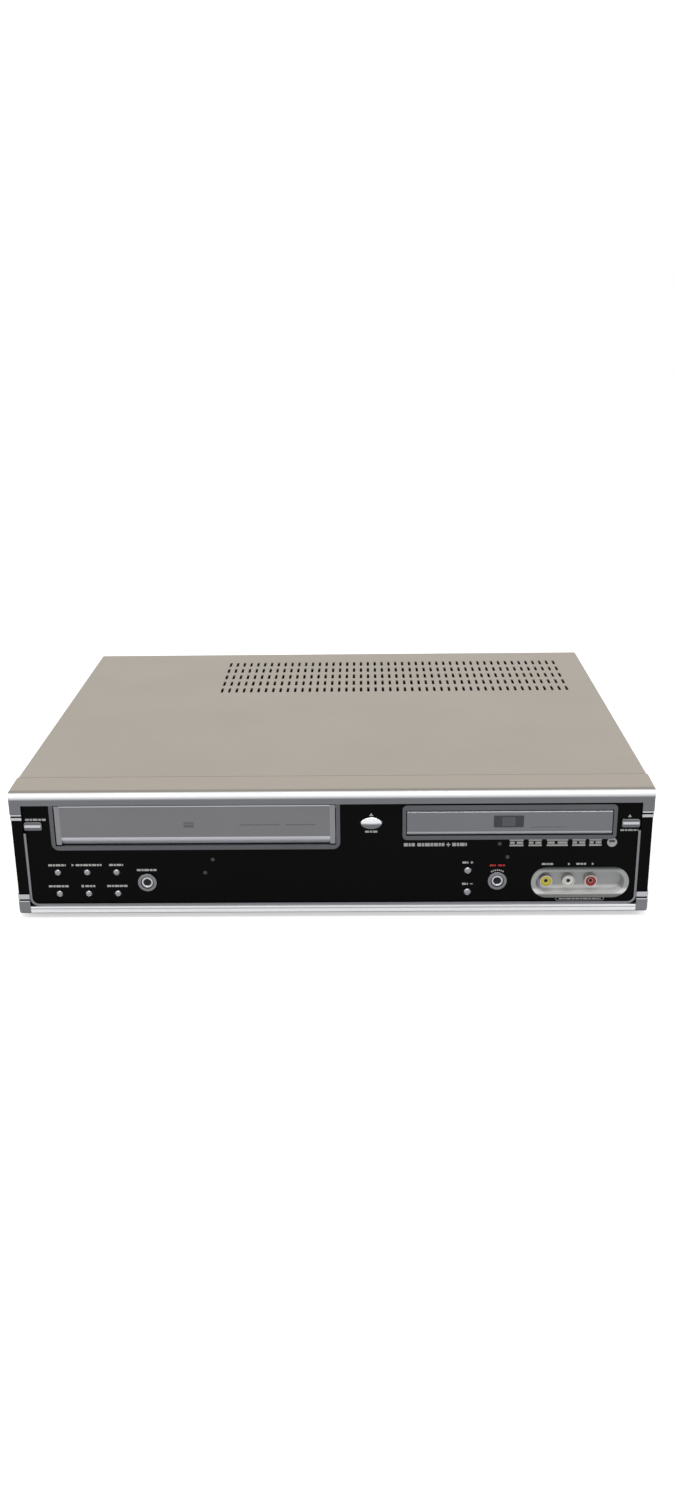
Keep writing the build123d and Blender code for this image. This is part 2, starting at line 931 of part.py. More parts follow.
# Front circuit board
def front_board():
    back = board_face + board_wall
    board = block(-board_half, board_half, board_face, back, board_low, board_high)
    top = side_key_z + ear_rise
    board += block(-board_half, side_ear - board_half, board_face, back, board_high, top)
    board += block(board_half - side_ear, board_half, board_face, back, board_high, top)
    half = eject_ear / 2
    board += block(eject_x - half, eject_x + half, board_face, back, board_high, eject_z + ear_rise)
    half = switch_side / 2
    tip = board_face - switch_height
    pieces = [board]
    for x, z in switch_places():
        pieces.append(block(x - half, x + half, tip, board_face, z - half, z + half))
    half = display_width / 2
    low = display_z - display_height / 2
    pieces.append(block(-half, half, board_face - display_depth, board_face, low, low + display_height))
    left = jack_x - sleeve_radius - jack_block_margin
    right = jack_places()[-1] + sleeve_radius + jack_block_margin
    low = jack_z - jack_block_height / 2
    pieces.append(block(left, right, pocket_back, board_face, low, low + jack_block_height))
    return Compound(pieces)


# Sheet metal case
def top_cover():
    front = rail_depth + seam
    outline = [(-half_width, cover_low), (half_width, cover_low)]
    outline += [(half_width, case_height), (-half_width, case_height)]
    outer = slab(rounded(outline, {2: cover_bend, 3: cover_bend}), front, body_depth)
    inner_half = half_width - cover_sheet
    inner = block(-inner_half, inner_half, 0, body_depth + overrun, 0, ceiling)
    slot = SlotOverall(vent_length, vent_width, rotation=quarter_turn)
    grid = GridLocations(vent_pitch, vent_row_pitch, vent_column_count, vent_row_count)
    slots = Sketch() + [Pos(vent_x, at(vent_depth)) * place * slot for place in grid]
    cover = outer - inner - layer(slots, ceiling - overrun, case_height + overrun)
    return cover - side_screw_holes(inner_half, half_width)


def side_screw_places():
    return [(body_depth * share, foot_height + side_screw_rise) for share in side_screw_shares]


def rear_screw_places():
    return [(half_width * share, foot_height + rear_screw_rise) for share in rear_screw_shares]


def side_screw_holes(inner, outer):
    cuts = []
    for depth, z in side_screw_places():
        cuts.append(pin(depth, z, shank_radius + seat_gap, inner - overrun, outer + overrun))
        cuts.append(pin(depth, z, shank_radius + seat_gap, -outer - overrun, -inner + overrun))
    return cuts


def rear_screw_holes(depth0, depth1):
    return [peg(x, z, shank_radius + seat_gap, depth0, depth1) for x, z in rear_screw_places()]


def board_posts():
    low = foot_height + chassis_sheet / 2
    posts = []
    for left, right in ((main_left, main_right), (power_left, power_right)):
        for x in (left + boards_inset, right - boards_inset):
            for depth in (boards_front + boards_inset, boards_rear - boards_inset):
                posts.append(post(x, depth, standoff_radius, low, boards_z))
    return posts


def deck_post_places():
    half = deck_half - deck_post_inset
    depths = (deck_front + deck_post_inset, deck_back - deck_post_inset)
    return [(door_x + side, depth) for side in (-half, half) for depth in depths]


def loader_post_places():
    half = loader_half - loader_post_inset
    depths = (loader_front + loader_post_setback, loader_back - loader_post_inset)
    return [(tray_x + side, depth) for side in (-half, half) for depth in depths]


def base_chassis():
    start = rail_depth + seam
    pan = block(-pan_half, pan_half, start, rear_back, foot_height, pan_top)
    pan += block(-panel_half, panel_half, panel_back, start, foot_height, pan_top)
    flange_top = foot_height + side_flange
    pan += block(pan_half - chassis_sheet, pan_half, start, rear_back, foot_height, flange_top)
    pan += block(-pan_half, chassis_sheet - pan_half, start, rear_back, foot_height, flange_top)
    flange_top = foot_height + rear_flange
    pan += block(-pan_half, pan_half, rear_back - chassis_sheet, rear_back, foot_height, flange_top)
    low = foot_height + chassis_sheet / 2
    pan += board_posts()
    pan += [post(x, depth, deck_post_radius, low, deck_z) for x, depth in deck_post_places()]
    pan += [post(x, depth, loader_post_radius, low, floor_z) for x, depth in loader_post_places()]
    pan -= side_screw_holes(pan_half - chassis_sheet, pan_half)
    return pan - rear_screw_holes(rear_back - chassis_sheet - overrun, rear_back + overrun)


def rear_panel():
    panel = block(-pan_half, pan_half, rear_back, rear_face, foot_height, ceiling)
    near = rear_back - overrun
    far = rear_face + overrun
    gap = outlet_gap
    half = scart_width / 2 + gap
    for x in scart_places():
        top = boards_top + scart_height + gap
        panel -= block(x - half, x + half, near, far, boards_top - gap, top)
    half = block_width / 2 + gap
    top = boards_top + block_height + gap
    panel -= block(block_x - half, block_x + half, near, far, boards_top - gap, top)
    panel -= [peg(tuner_x, z, aerial_radius + gap, near, far) for z in aerial_places()]
    half = inlet_width / 2 - inlet_flange + gap
    rise = inlet_height / 2 - inlet_flange + gap
    panel -= block(inlet_x - half, inlet_x + half, near, far, inlet_z - rise, inlet_z + rise)
    return panel - rear_screw_holes(near, far)


def feet():
    pads = []
    front = rail_depth + foot_front_gap + foot_radius
    for depth in (front, body_depth - foot_rear_gap - foot_radius):
        pad = post(half_width - foot_inset, depth, foot_radius, 0, foot_height)
        pad = fillet(pad.faces().sort_by(Axis.Z)[0].edges(), foot_edge)
        pads += [pad, mirror(pad, about=Plane.YZ)]
    return Compound(pads)


def screw():
    body = Cylinder(head_radius, head_height, align=standing_align)
    top = Pos(0, 0, head_height - cross_depth)
    body -= top * Box(cross_length, cross_width, cross_depth + overrun, align=standing_align)
    body -= top * Box(cross_width, cross_length, cross_depth + overrun, align=standing_align)
    shank = Cylinder(shank_radius, shank_length + head_height - cross_depth, align=standing_align)
    return body + Pos(0, 0, -shank_length) * shank


def case_screws():
    one = screw()
    screws = []
    for depth, z in side_screw_places():
        right = Pos(half_width, at(depth), z) * Rot(0, quarter_turn, 0) * one
        screws += [right, mirror(right, about=Plane.YZ)]
    for x, z in rear_screw_places():
        screws.append(Pos(x, at(rear_face), z) * Rot(-quarter_turn, 0, 0) * one)
    return Compound(screws)


# Main and power boards with their parts
def circuit_boards():
    main = block(main_left, main_right, boards_front, boards_rear, boards_z, boards_top)
    power = block(power_left, power_right, boards_front, boards_rear, boards_z, boards_top)
    pieces = [main, power]
    middle = (boards_front + boards_rear) / 2
    half = chip_side / 2
    for share in chip_x_shares:
        x = main_left + main_width * share
        top = boards_top + chip_height
        pieces.append(block(x - half, x + half, middle - half, middle + half, boards_top, top))
    left = power_left + boards_inset
    front = boards_front + boards_inset
    right = left + transformer_width
    top = boards_top + transformer_height
    pieces.append(block(left, right, front, front + transformer_depth, boards_top, top))
    first = right + capacitor_pitch
    depth = front + transformer_depth / 2
    for place in range(capacitor_count):
        x = first + place * capacitor_pitch
        pieces.append(post(x, depth, capacitor_radius, boards_top, boards_top + capacitor_height))
    top = boards_top + heat_sink_height
    front = front + transformer_depth
    pieces.append(block(first, first + heat_sink_width, front, front + heat_sink_wall, boards_top, top))
    return Compound(pieces)


# Rear sockets
def scart_places():
    return [first_scart_x, second_scart_x]


def scart_sockets():
    sockets = []
    half = scart_width / 2
    back = rear_face + scart_proud
    top = boards_top + scart_height
    for x in scart_places():
        body = block(x - half, x + half, rear_face - scart_inner, back, boards_top, top)
        side = half - scart_wall
        low = boards_top + scart_wall
        high = top - scart_wall
        sockets.append(body - block(x - side, x + side, back - scart_cavity, back + overrun, low, high))
    return Compound(sockets)


def rear_jacks():
    half = block_width / 2
    back = rear_face + block_proud
    top = boards_top + block_height
    body = block(block_x - half, block_x + half, back - block_thick, back, boards_top, top)
    middle = boards_top + block_height / 2
    for column in (-1, 0, 1):
        for row in (-1, 1):
            x = block_x + column * block_width * rear_jack_x_share
            z = middle + row * block_height * rear_jack_z_share
            body += peg(x, z, sleeve_radius, back, back + rear_jack_length)
            body -= peg(x, z, contact_radius, back - block_proud, back + rear_jack_length + overrun)
    return body


def aerial_places():
    return [boards_top + tuner_height * share for share in aerial_z_shares]


def tuner_box():
    half = tuner_width / 2
    front = rear_back - tuner_length
    top = boards_top + tuner_height
    can = block(tuner_x - half, tuner_x + half, front, rear_back, boards_top, top)
    half -= tuner_wall
    front += tuner_wall
    back = rear_back - tuner_wall
    can -= block(tuner_x - half, tuner_x + half, front, back, boards_top - overrun, top - tuner_wall)
    tip = body_depth + socket_reach
    for z in aerial_places():
        can += peg(tuner_x, z, aerial_radius, back, tip)
        can -= peg(tuner_x, z, aerial_bore, tip - aerial_bore_depth, tip + overrun)
    return can


def mains_inlet():
    half = inlet_width / 2
    rise = inlet_height / 2
    back = rear_face + inlet_flange
    body = block(inlet_x - half, inlet_x + half, rear_face, back, inlet_z - rise, inlet_z + rise)
    half -= inlet_flange
    rise -= inlet_flange
    front = rear_face - inlet_body_depth
    body += block(inlet_x - half, inlet_x + half, front, rear_face, inlet_z - rise, inlet_z + rise)
    height = inlet_height - 2 * inlet_wall
    oval = Pos(inlet_x, inlet_z) * SlotOverall(inlet_width - 2 * inlet_wall, height)
    body -= slab(oval, back - inlet_cavity, back + overrun)
    start = back - inlet_cavity - overrun
    for side in (-1, 1):
        x = inlet_x + side * inlet_pin_pitch / 2
        body += peg(x, inlet_z, inlet_pin_radius, start, back - inlet_cavity + inlet_pin_length)
    return body


# Cassette lift
def lift_frame():
    top = strap_low + lift_sheet
    outer = lift_half + lift_sheet
    frame = block(door_x - outer, door_x - lift_half, lift_front, lift_back, deck_top, top)
    frame += block(door_x + lift_half, door_x + outer, lift_front, lift_back, deck_top, top)
    strap_back = strap_front + strap_length
    return frame + block(door_x - outer, door_x + outer, strap_front, strap_back, strap_low, top)


def lift_slider():
    outer = slider_half + slider_sheet
    top = bar_low + slider_bar_wall
    slider = block(door_x - outer, door_x - slider_half, slider_front, slider_back, slider_low, top)
    slider += block(door_x + slider_half, door_x + outer, slider_front, slider_back, slider_low, top)
    bar_front = slider_back - slider_bar
    return slider + block(door_x - outer, door_x + outer, bar_front, slider_back, bar_low, top)


def cassette_holder():
    low = opening_floor - holder_sheet
    body = block(door_x - holder_half, door_x + holder_half, holder_front, holder_back, low, holder_top)
    roof = holder_top - holder_sheet
    start = holder_front - overrun
    end = holder_back + overrun
    body -= block(door_x - holder_inner, door_x + holder_inner, start, end, opening_floor, roof)
    hook = holder_inner - holder_hook
    body -= block(door_x - hook, door_x + hook, start, end, opening_floor, holder_top + overrun)
    ledge = holder_inner - holder_ledge
    strip = holder_front + holder_strip
    return body - block(door_x - ledge, door_x + ledge, strip, end, low - overrun, roof)


# Tape deck
def reel_places():
    return [(door_x - reel_spacing / 2, reel_depth), (door_x + reel_spacing / 2, reel_depth)]


def deck_plate():
    plate = block(door_x - deck_half, door_x + deck_half, deck_front, deck_back, deck_z, deck_top)
    low = deck_z - overrun
    high = deck_top + overrun
    plate -= [post(x, depth, reel_shaft_radius + shaft_gap, low, high) for x, depth in reel_places()]
    plate -= post(capstan_x, capstan_depth, capstan_radius + shaft_gap, low, high)
    middle = deck_z + deck_sheet / 2
    top = deck_top + guide_height
    for share in guide_x_shares:
        plate += post(door_x + deck_half * share, guide_depth, guide_radius, middle, top)
    return plate


def reel_table(x, depth):
    low = deck_top + reel_rise
    top = low + reel_height
    reel = post(x, depth, reel_radius, low, top)
    reel += post(x, depth, reel_shaft_radius, low - reel_shaft_length, top)
    reel += post(x, depth, spindle_radius, low, top + spindle_height)
    reach = spindle_radius + spindle_fin
    fin = Pos(0, 0, top - reel_height / 2)
    fin_height = spindle_height / 2 + reel_height / 2
    fin = fin * Box(reach, spindle_fin_width, fin_height, align=(Align.MIN, Align.CENTER, Align.MIN))
    for place in range(spindle_fin_count):
        reel += Pos(x, at(depth), 0) * Rot(0, 0, place * 4 * quarter_turn / spindle_fin_count) * fin
    return reel


def drum_frame():
    return Pos(door_x, at(drum_depth), deck_top) * Rot(drum_tilt, 0, 0)


def lower_drum():
    reach = drum_radius * sin(radians(drum_tilt)) + drum_foot_height
    drum = Pos(0, 0, -reach) * Cylinder(drum_radius, lower_drum_height + reach, align=standing_align)
    bore = drum_shaft_radius + shaft_gap
    start = lower_drum_height - drum_shaft_length - shaft_gap
    drum -= Pos(0, 0, start) * Cylinder(bore, drum_shaft_length + overrun, align=standing_align)
    drum = drum_frame() * drum
    drum += post(door_x, drum_depth, drum_foot_radius, deck_top, deck_top + drum_foot_height)
    side = drum_foot_radius + reach
    below = deck_top - 2 * reach
    return drum - block(door_x - side, door_x + side, drum_depth - side, drum_depth + side, below, deck_top)


def upper_drum():
    low = lower_drum_height + drum_gap
    drum = Pos(0, 0, low) * Cylinder(drum_radius, upper_drum_height, align=standing_align)
    top = low + upper_drum_height
    drum += Pos(0, 0, top) * Cylinder(drum_hub_radius, drum_hub_height, align=standing_align)
    start = lower_drum_height - drum_shaft_length
    shaft = Cylinder(drum_shaft_radius, top - start, align=standing_align)
    return drum_frame() * (drum + Pos(0, 0, start) * shaft)


def capstan():
    top = deck_z - flywheel_gap
    wheel = post(capstan_x, capstan_depth, flywheel_radius, top - flywheel_height, top)
    start = top - flywheel_height / 2
    return wheel + post(capstan_x, capstan_depth, capstan_radius, start, deck_top + capstan_rise)


# Disc tray and its gear
def rack_outline():
    pitch = pi * gear_module
    line = tray_x + rack_offset
    tip = line - addendum_share * gear_module
    root = line + dedendum_share * gear_module
    half = pitch / 4 - tooth_slack / 2
    slope = tan(radians(pressure_angle))
    tip_half = half - addendum_share * gear_module * slope
    root_half = half + dedendum_share * gear_module * slope
    first = gear_depth - pitch / 2
    lead = int((first - rack_first) / pitch)
    first -= lead * pitch
    count = int((tray_end - rack_margin - first) / pitch)
    back = root + rack_back
    points = [(back, at(first - pitch / 2)), (root, at(first - pitch / 2))]
    for tooth in range(count):
        middle = at(first + tooth * pitch)
        points += [(root, middle - root_half), (tip, middle - tip_half)]
        points += [(tip, middle + tip_half), (root, middle + root_half)]
    last = at(first + (count - 1) * pitch + pitch / 2)
    return Polygon(*points, (root, last), (back, last))


def disc_tray():
    half = tray_width / 2
    tray = block(tray_x - half, tray_x + half, front_back, tray_end, tray_z, tray_top)
    low = tray_z - overrun
    high = tray_top + overrun
    tray -= post(tray_x, disc_depth, well_radius, disc_floor_z, high)
    tray -= post(tray_x, disc_depth, small_disc_radius + well_gap, tray_z + small_disc_floor, high)
    tray -= post(tray_x, disc_depth, slot_half, low, high)
    tray -= block(tray_x - slot_half, tray_x + slot_half, disc_depth, tray_end + overrun, low, high)
    return tray + layer(rack_outline(), tray_z - gear_height, tray_z)


def flank_points(base, start, tip, half_angle):
    points = []
    for step in range(flank_step_count + 1):
        radius = start + (tip - start) * step / flank_step_count
        roll = sqrt(max(radius * radius / (base * base) - 1, 0))
        angle = half_angle - (roll - atan(roll))
        points.append((radius * cos(angle), radius * sin(angle)))
    return points


def gear_outline():
    base = pitch_radius * cos(radians(pressure_angle))
    root = pitch_radius - dedendum_share * gear_module
    tip = pitch_radius + addendum_share * gear_module
    pitch_half = (pi / 2 - tooth_slack / gear_module) / gear_tooth_count
    base_half = pitch_half + tan(radians(pressure_angle)) - radians(pressure_angle)
    upper = flank_points(base, max(base, root), tip, base_half)
    flank = [(root * cos(base_half), root * sin(base_half))] + upper
    lower = [(x, -y) for x, y in flank]
    points = []
    for tooth in range(gear_tooth_count):
        turn = 2 * pi * tooth / gear_tooth_count
        for x, y in lower + flank[::-1]:
            points.append((x * cos(turn) - y * sin(turn), x * sin(turn) + y * cos(turn)))
    return Polygon(*points)


def tray_gear():
    gear = layer(Pos(gear_x, at(gear_depth)) * gear_outline(), gear_bottom, gear_top)
    gear += post(gear_x, gear_depth, pulley_radius, pulley_bottom, gear_bottom)
    bore = gear_post_radius + shaft_gap
    return gear - post(gear_x, gear_depth, bore, pulley_bottom - overrun, gear_top + overrun)


def motor_pulley():
    top = pulley_bottom + pulley_height
    pulley = post(motor_x, motor_depth, motor_pulley_radius, pulley_bottom, top)
    return pulley + post(motor_x, motor_depth, motor_shaft_radius, floor_z - motor_shaft_entry, top)


def tray_motor():
    can = post(motor_x, motor_depth, motor_radius, floor_z - motor_height, floor_z)
    bore = motor_shaft_radius + shaft_gap
    start = floor_z - motor_shaft_entry - shaft_gap
    return can - post(motor_x, motor_depth, bore, start, floor_z + overrun)


def belt_loop(extra):
    big = Pos(gear_x, at(gear_depth)) * Circle(pulley_radius + extra)
    small = Pos(motor_x, at(motor_depth)) * Circle(motor_pulley_radius + extra)
    return make_hull(big.edges() + small.edges())


def tray_belt():
    middle = pulley_bottom + pulley_height / 2
    loop = belt_loop(belt_gap + belt_wall) - belt_loop(belt_gap)
    return layer(loop, middle - belt_width / 2, middle + belt_width / 2)


# Disc loader
def rod_places():
    return [tray_x - rod_offset, tray_x + rod_offset]


def loader_strip(one, other, low, high):
    return block(min(one, other), max(one, other), loader_front, loader_back, low, high)


def loader_frame():
    left = tray_x - loader_half
    frame = block(left, tray_x + loader_half, loader_front, loader_back, floor_z, floor_top)
    for side in (-1, 1):
        inner = tray_x + side * loader_inner
        outer = tray_x + side * loader_half
        frame += loader_strip(inner, outer, floor_z, loader_top)
        low = tray_z - slide_gap
        frame += loader_strip(inner, inner - side * ledge_width, low - ledge_wall, low)
        high = tray_top + slide_gap
        frame += loader_strip(inner, inner - side * ledge_lip, high, high + ledge_wall)
    frame += post(gear_x, gear_depth, gear_shoulder, floor_z, pulley_bottom - slide_gap)
    frame += post(gear_x, gear_depth, gear_post_radius, floor_z, gear_top)
    frame += post(tray_x, disc_depth, spindle_post_radius, floor_z, spindle_post_top)
    top = rod_z + lug_rise
    for x in rod_places():
        for depth in (rod_start, rod_end - lug_length):
            frame += block(x - lug_half, x + lug_half, depth, depth + lug_length, floor_z, top)
        frame -= peg(x, rod_z, rod_radius + seat_gap, rod_start - overrun, rod_end + overrun)
    hole = motor_shaft_radius + slide_gap
    return frame - post(motor_x, motor_depth, hole, floor_z - overrun, floor_top + overrun)


def turntable():
    under = turntable_top - turntable_wall
    platter = post(tray_x, disc_depth, turntable_radius, under, turntable_top)
    cone = Cone(cone_radius, cone_top_radius, cone_height, align=standing_align)
    platter += Pos(tray_x, at(disc_depth), turntable_top) * cone
    low = floor_top + rotor_gap
    platter += post(tray_x, disc_depth, rotor_radius, low, under)
    bore = spindle_post_radius + shaft_gap
    return platter - post(tray_x, disc_depth, bore, low - overrun, spindle_post_top + slide_gap)


def sled_rods():
    return Compound([peg(x, rod_z, rod_radius, rod_start, rod_end) for x in rod_places()])


def laser_sled():
    front = rod_start + lug_length + sled_gap
    back = front + sled_length
    low = rod_z - sled_height / 2
    high = rod_z + sled_height / 2
    sled = block(tray_x - sled_half, tray_x + sled_half, front, back, low, high)
    sled -= [peg(x, rod_z, rod_radius + shaft_gap, rod_start, rod_end) for x in rod_places()]
    middle = (front + back) / 2
    return sled + post(tray_x, middle, lens_turret_radius, rod_z, high + lens_turret_height)


def clamp_bridge():
    half = bridge_length / 2
    top = loader_top + bridge_sheet
    front = disc_depth - half
    back = disc_depth + half
    bridge = block(tray_x - loader_half, tray_x + loader_half, front, back, loader_top, top)
    bridge -= post(tray_x, disc_depth, clamp_radius + clamp_gap, loader_top - overrun, top + overrun)
    puck = post(tray_x, disc_depth, clamp_radius, tray_top + clamp_clear, top + clamp_flange_wall)
    puck += post(tray_x, disc_depth, clamp_radius + clamp_flange, top, top + clamp_flange_wall)
    return Compound([bridge, puck])


def all_parts():
    parts = {
        "base_chassis": base_chassis(),
        "rear_panel": rear_panel(),
        "top_cover": top_cover(),
        "feet": feet(),
        "case_screws": case_screws(),
        "front_panel": front_panel(),
        "top_rail": top_rail(),
        "bottom_rail": bottom_rail(),
        "corner_strips": corner_strips(),
        "panel_trim": panel_trim(),
        "cassette_surround": cassette_surround(),
        "cassette_door": cassette_door(),
        "tray_surround": tray_surround(),
        "tray_front": tray_front(),
        "av_pocket": av_pocket(),
        "jack_sleeves": jack_sleeves(),
        "indicator_lenses": indicator_lenses(),
        "button_rings": button_rings(),
        "front_board": front_board(),
        "circuit_boards": circuit_boards(),
        "scart_sockets": scart_sockets(),
        "rear_jacks": rear_jacks(),
        "tuner_box": tuner_box(),
        "mains_inlet": mains_inlet(),
        "deck_plate": deck_plate(),
        "lift_frame": lift_frame(),
        "lift_slider": lift_slider(),
        "cassette_holder": cassette_holder(),
        "lower_drum": lower_drum(),
        "upper_drum": upper_drum(),
        "capstan": capstan(),
        "loader_frame": loader_frame(),
        "disc_tray": disc_tray(),
        "tray_gear": tray_gear(),
        "tray_motor": tray_motor(),
        "motor_pulley": motor_pulley(),
        "tray_belt": tray_belt(),
        "turntable": turntable(),
        "sled_rods": sled_rods(),
        "laser_sled": laser_sled(),
        "clamp_bridge": clamp_bridge(),
        "power_button": side_key(-side_key_x),
        "open_button": side_key(side_key_x),
        "eject_button": eject_button(),
    }
    for colour, x in zip(jack_colours, jack_places()):
        parts[f"jack_core_{colour}"] = jack_core(x)
    for number, (x, z) in enumerate(function_places(), 1):
        parts[f"function_button_{number}"] = domed_button(x, z, function_radius, function_dome)
    for name, (x, z) in zip(("up", "down"), channel_places()):
        parts[f"channel_{name}_button"] = domed_button(x, z, channel_radius, channel_dome)
    for name, (x, z) in zip(("left", "right"), round_places()):
        parts[f"{name}_round_button"] = dished_button(x, z)
    for name, (x, depth) in zip(("supply", "takeup"), reel_places()):
        parts[f"{name}_reel"] = reel_table(x, depth)
    return parts


def main():
    os.makedirs("parts", exist_ok=True)
    for name, shape in all_parts().items():
        export_step(shape, f"parts/{name}.step")
        print(name)


if __name__ == "__main__":
    main()
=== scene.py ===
import json
import math

import bmesh
import bpy
from mathutils import Matrix, Vector


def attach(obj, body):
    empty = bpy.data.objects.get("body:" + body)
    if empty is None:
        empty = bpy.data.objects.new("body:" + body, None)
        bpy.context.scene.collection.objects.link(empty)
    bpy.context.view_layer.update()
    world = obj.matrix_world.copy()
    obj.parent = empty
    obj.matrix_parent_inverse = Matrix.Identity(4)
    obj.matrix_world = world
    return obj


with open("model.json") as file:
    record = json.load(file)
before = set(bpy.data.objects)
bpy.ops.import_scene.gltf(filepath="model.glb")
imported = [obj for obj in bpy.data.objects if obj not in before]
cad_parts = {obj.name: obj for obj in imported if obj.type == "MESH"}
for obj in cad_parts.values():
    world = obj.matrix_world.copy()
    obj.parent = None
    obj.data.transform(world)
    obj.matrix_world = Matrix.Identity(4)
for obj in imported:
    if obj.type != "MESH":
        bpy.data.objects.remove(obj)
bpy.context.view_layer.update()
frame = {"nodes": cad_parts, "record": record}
scene = bpy.context.scene
nodes = frame["nodes"]
mm = 0.001
print("deck loaded:", len(nodes), "nodes")


# camera, matched to the corners of the cover, rails and panel in the photo
cameraView = dict(
    place=(0.021792, -0.984442, 0.402999),
    pitch=0.358933,
    yaw=-0.020797,
    roll=-0.013642,
    lens=31.40,
    sensor=36,
    shiftY=0.02,
    nearest=0.01,
)


def makeCamera(view):
    pitch, yaw, roll = view["pitch"], view["yaw"], view["roll"]
    level = Vector((math.sin(yaw), math.cos(yaw), 0))
    look = level * math.cos(pitch) - Vector((0, 0, math.sin(pitch)))
    right = Vector((math.cos(yaw), -math.sin(yaw), 0))
    up = right.cross(look)
    right, up = (
        right * math.cos(roll) + up * math.sin(roll),
        up * math.cos(roll) - right * math.sin(roll),
    )
    turn = Matrix((right, up, -look)).transposed().to_4x4()
    data = bpy.data.cameras.new("photoCamera")
    data.lens = view["lens"]
    data.sensor_width = view["sensor"]
    data.shift_y = view["shiftY"]
    data.clip_start = view["nearest"]
    camera = bpy.data.objects.new("photoCamera", data)
    camera.matrix_world = Matrix.Translation(view["place"]) @ turn
    scene.collection.objects.link(camera)
    scene.camera = camera


makeCamera(cameraView)


# studio: pale floor, white surroundings, one overhead softbox and two weak fills
studio = dict(
    floorSize=12.0,
    floorTone=(0.86, 0.86, 0.86),
    floorGlow=0.52,         # what the camera sees
    floorMirrored=0.12,     # what metal and glass see
    roomLight=0.55,
    lamps=[
        ("overhead", (0.0, -0.62, 1.65), (0.0, -0.05, 0.05), (1.5, 0.5), 11.0),
        ("leftFill", (-1.5, -0.9, 1.1), (0.0, 0.0, 0.05), (0.9, 0.9), 4.0),
        ("rightFill", (1.6, 0.7, 1.3), (0.0, 0.0, 0.05), (0.9, 0.9), 5.0),
    ],
)


def seenDirectly(tree):
    path = tree.nodes.new("ShaderNodeLightPath")
    glossy = tree.nodes.new("ShaderNodeMath")
    glossy.operation = "MAXIMUM"
    tree.links.new(path.outputs["Is Camera Ray"], glossy.inputs[0])
    tree.links.new(path.outputs["Is Glossy Ray"], glossy.inputs[1])
    seen = tree.nodes.new("ShaderNodeMath")
    seen.operation = "MAXIMUM"
    tree.links.new(glossy.outputs[0], seen.inputs[0])
    tree.links.new(path.outputs["Is Transmission Ray"], seen.inputs[1])
    return seen.outputs[0]


def makeWorld(setup):
    world = bpy.data.worlds.new("studioRoom")
    scene.world = world
    world.use_nodes = True
    tree = world.node_tree
    tree.nodes.clear()
    room = tree.nodes.new("ShaderNodeBackground")
    room.inputs["Color"].default_value = (1, 1, 1, 1)
    room.inputs["Strength"].default_value = setup["roomLight"]
    white = tree.nodes.new("ShaderNodeBackground")
    white.inputs["Color"].default_value = (1, 1, 1, 1)
    mix = tree.nodes.new("ShaderNodeMixShader")
    out = tree.nodes.new("ShaderNodeOutputWorld")
    tree.links.new(seenDirectly(tree), mix.inputs["Fac"])
    tree.links.new(room.outputs[0], mix.inputs[1])
    tree.links.new(white.outputs[0], mix.inputs[2])
    tree.links.new(mix.outputs[0], out.inputs["Surface"])


def makeFloor(setup):
    material = bpy.data.materials.new("paleFloor")
    material.use_nodes = True
    tree = material.node_tree
    tree.nodes.clear()
    matte = tree.nodes.new("ShaderNodeBsdfDiffuse")
    matte.inputs["Color"].default_value = (*setup["floorTone"], 1)
    glow = tree.nodes.new("ShaderNodeEmission")
    path = tree.nodes.new("ShaderNodeLightPath")
    mirrored = tree.nodes.new("ShaderNodeMath")
    mirrored.operation = "MULTIPLY"
    mirrored.inputs[1].default_value = setup["floorMirrored"]
    glowLevel = tree.nodes.new("ShaderNodeMath")
    glowLevel.operation = "MULTIPLY_ADD"
    glowLevel.inputs[1].default_value = setup["floorGlow"] - setup["floorMirrored"]
    both = tree.nodes.new("ShaderNodeAddShader")
    out = tree.nodes.new("ShaderNodeOutputMaterial")
    tree.links.new(seenDirectly(tree), mirrored.inputs[0])
    tree.links.new(path.outputs["Is Camera Ray"], glowLevel.inputs[0])
    tree.links.new(mirrored.outputs[0], glowLevel.inputs[2])
    tree.links.new(glowLevel.outputs[0], glow.inputs["Strength"])
    tree.links.new(matte.outputs[0], both.inputs[0])
    tree.links.new(glow.outputs[0], both.inputs[1])
    tree.links.new(both.outputs[0], out.inputs["Surface"])
    bm = bmesh.new()
    bmesh.ops.create_grid(bm, x_segments=4, y_segments=4, size=setup["floorSize"] / 2)
    mesh = bpy.data.meshes.new("studioFloor")
    bm.to_mesh(mesh)
    bm.free()
    mesh.materials.append(material)
    floor = bpy.data.objects.new("studioFloor", mesh)
    scene.collection.objects.link(floor)


def makeLamps(setup):
    for name, place, aim, size, power in setup["lamps"]:
        data = bpy.data.lights.new(name, "AREA")
        data.shape = "RECTANGLE"
        data.size, data.size_y = size
        data.energy = power
        lamp = bpy.data.objects.new(name, data)
        lamp.location = place
        lamp.rotation_euler = (Vector(aim) - Vector(place)).to_track_quat("-Z", "Y").to_euler()
        scene.collection.objects.link(lamp)


scene.view_settings.view_transform = "Standard"
makeWorld(studio)
makeFloor(studio)
makeLamps(studio)
print("studio set")


# shared effects: each group reads Object coordinates and puts out values for one surface
def newGroup(name, inputs, outputs):
    group = bpy.data.node_groups.new(name, "ShaderNodeTree")
    for label, kind, value in inputs:
        socket = group.interface.new_socket(name=label, in_out="INPUT", socket_type="NodeSocket" + kind)
        socket.default_value = value
    for label, kind in outputs:
        group.interface.new_socket(name=label, in_out="OUTPUT", socket_type="NodeSocket" + kind)
    start = group.nodes.new("NodeGroupInput")
    end = group.nodes.new("NodeGroupOutput")
    return group, start.outputs, end.inputs


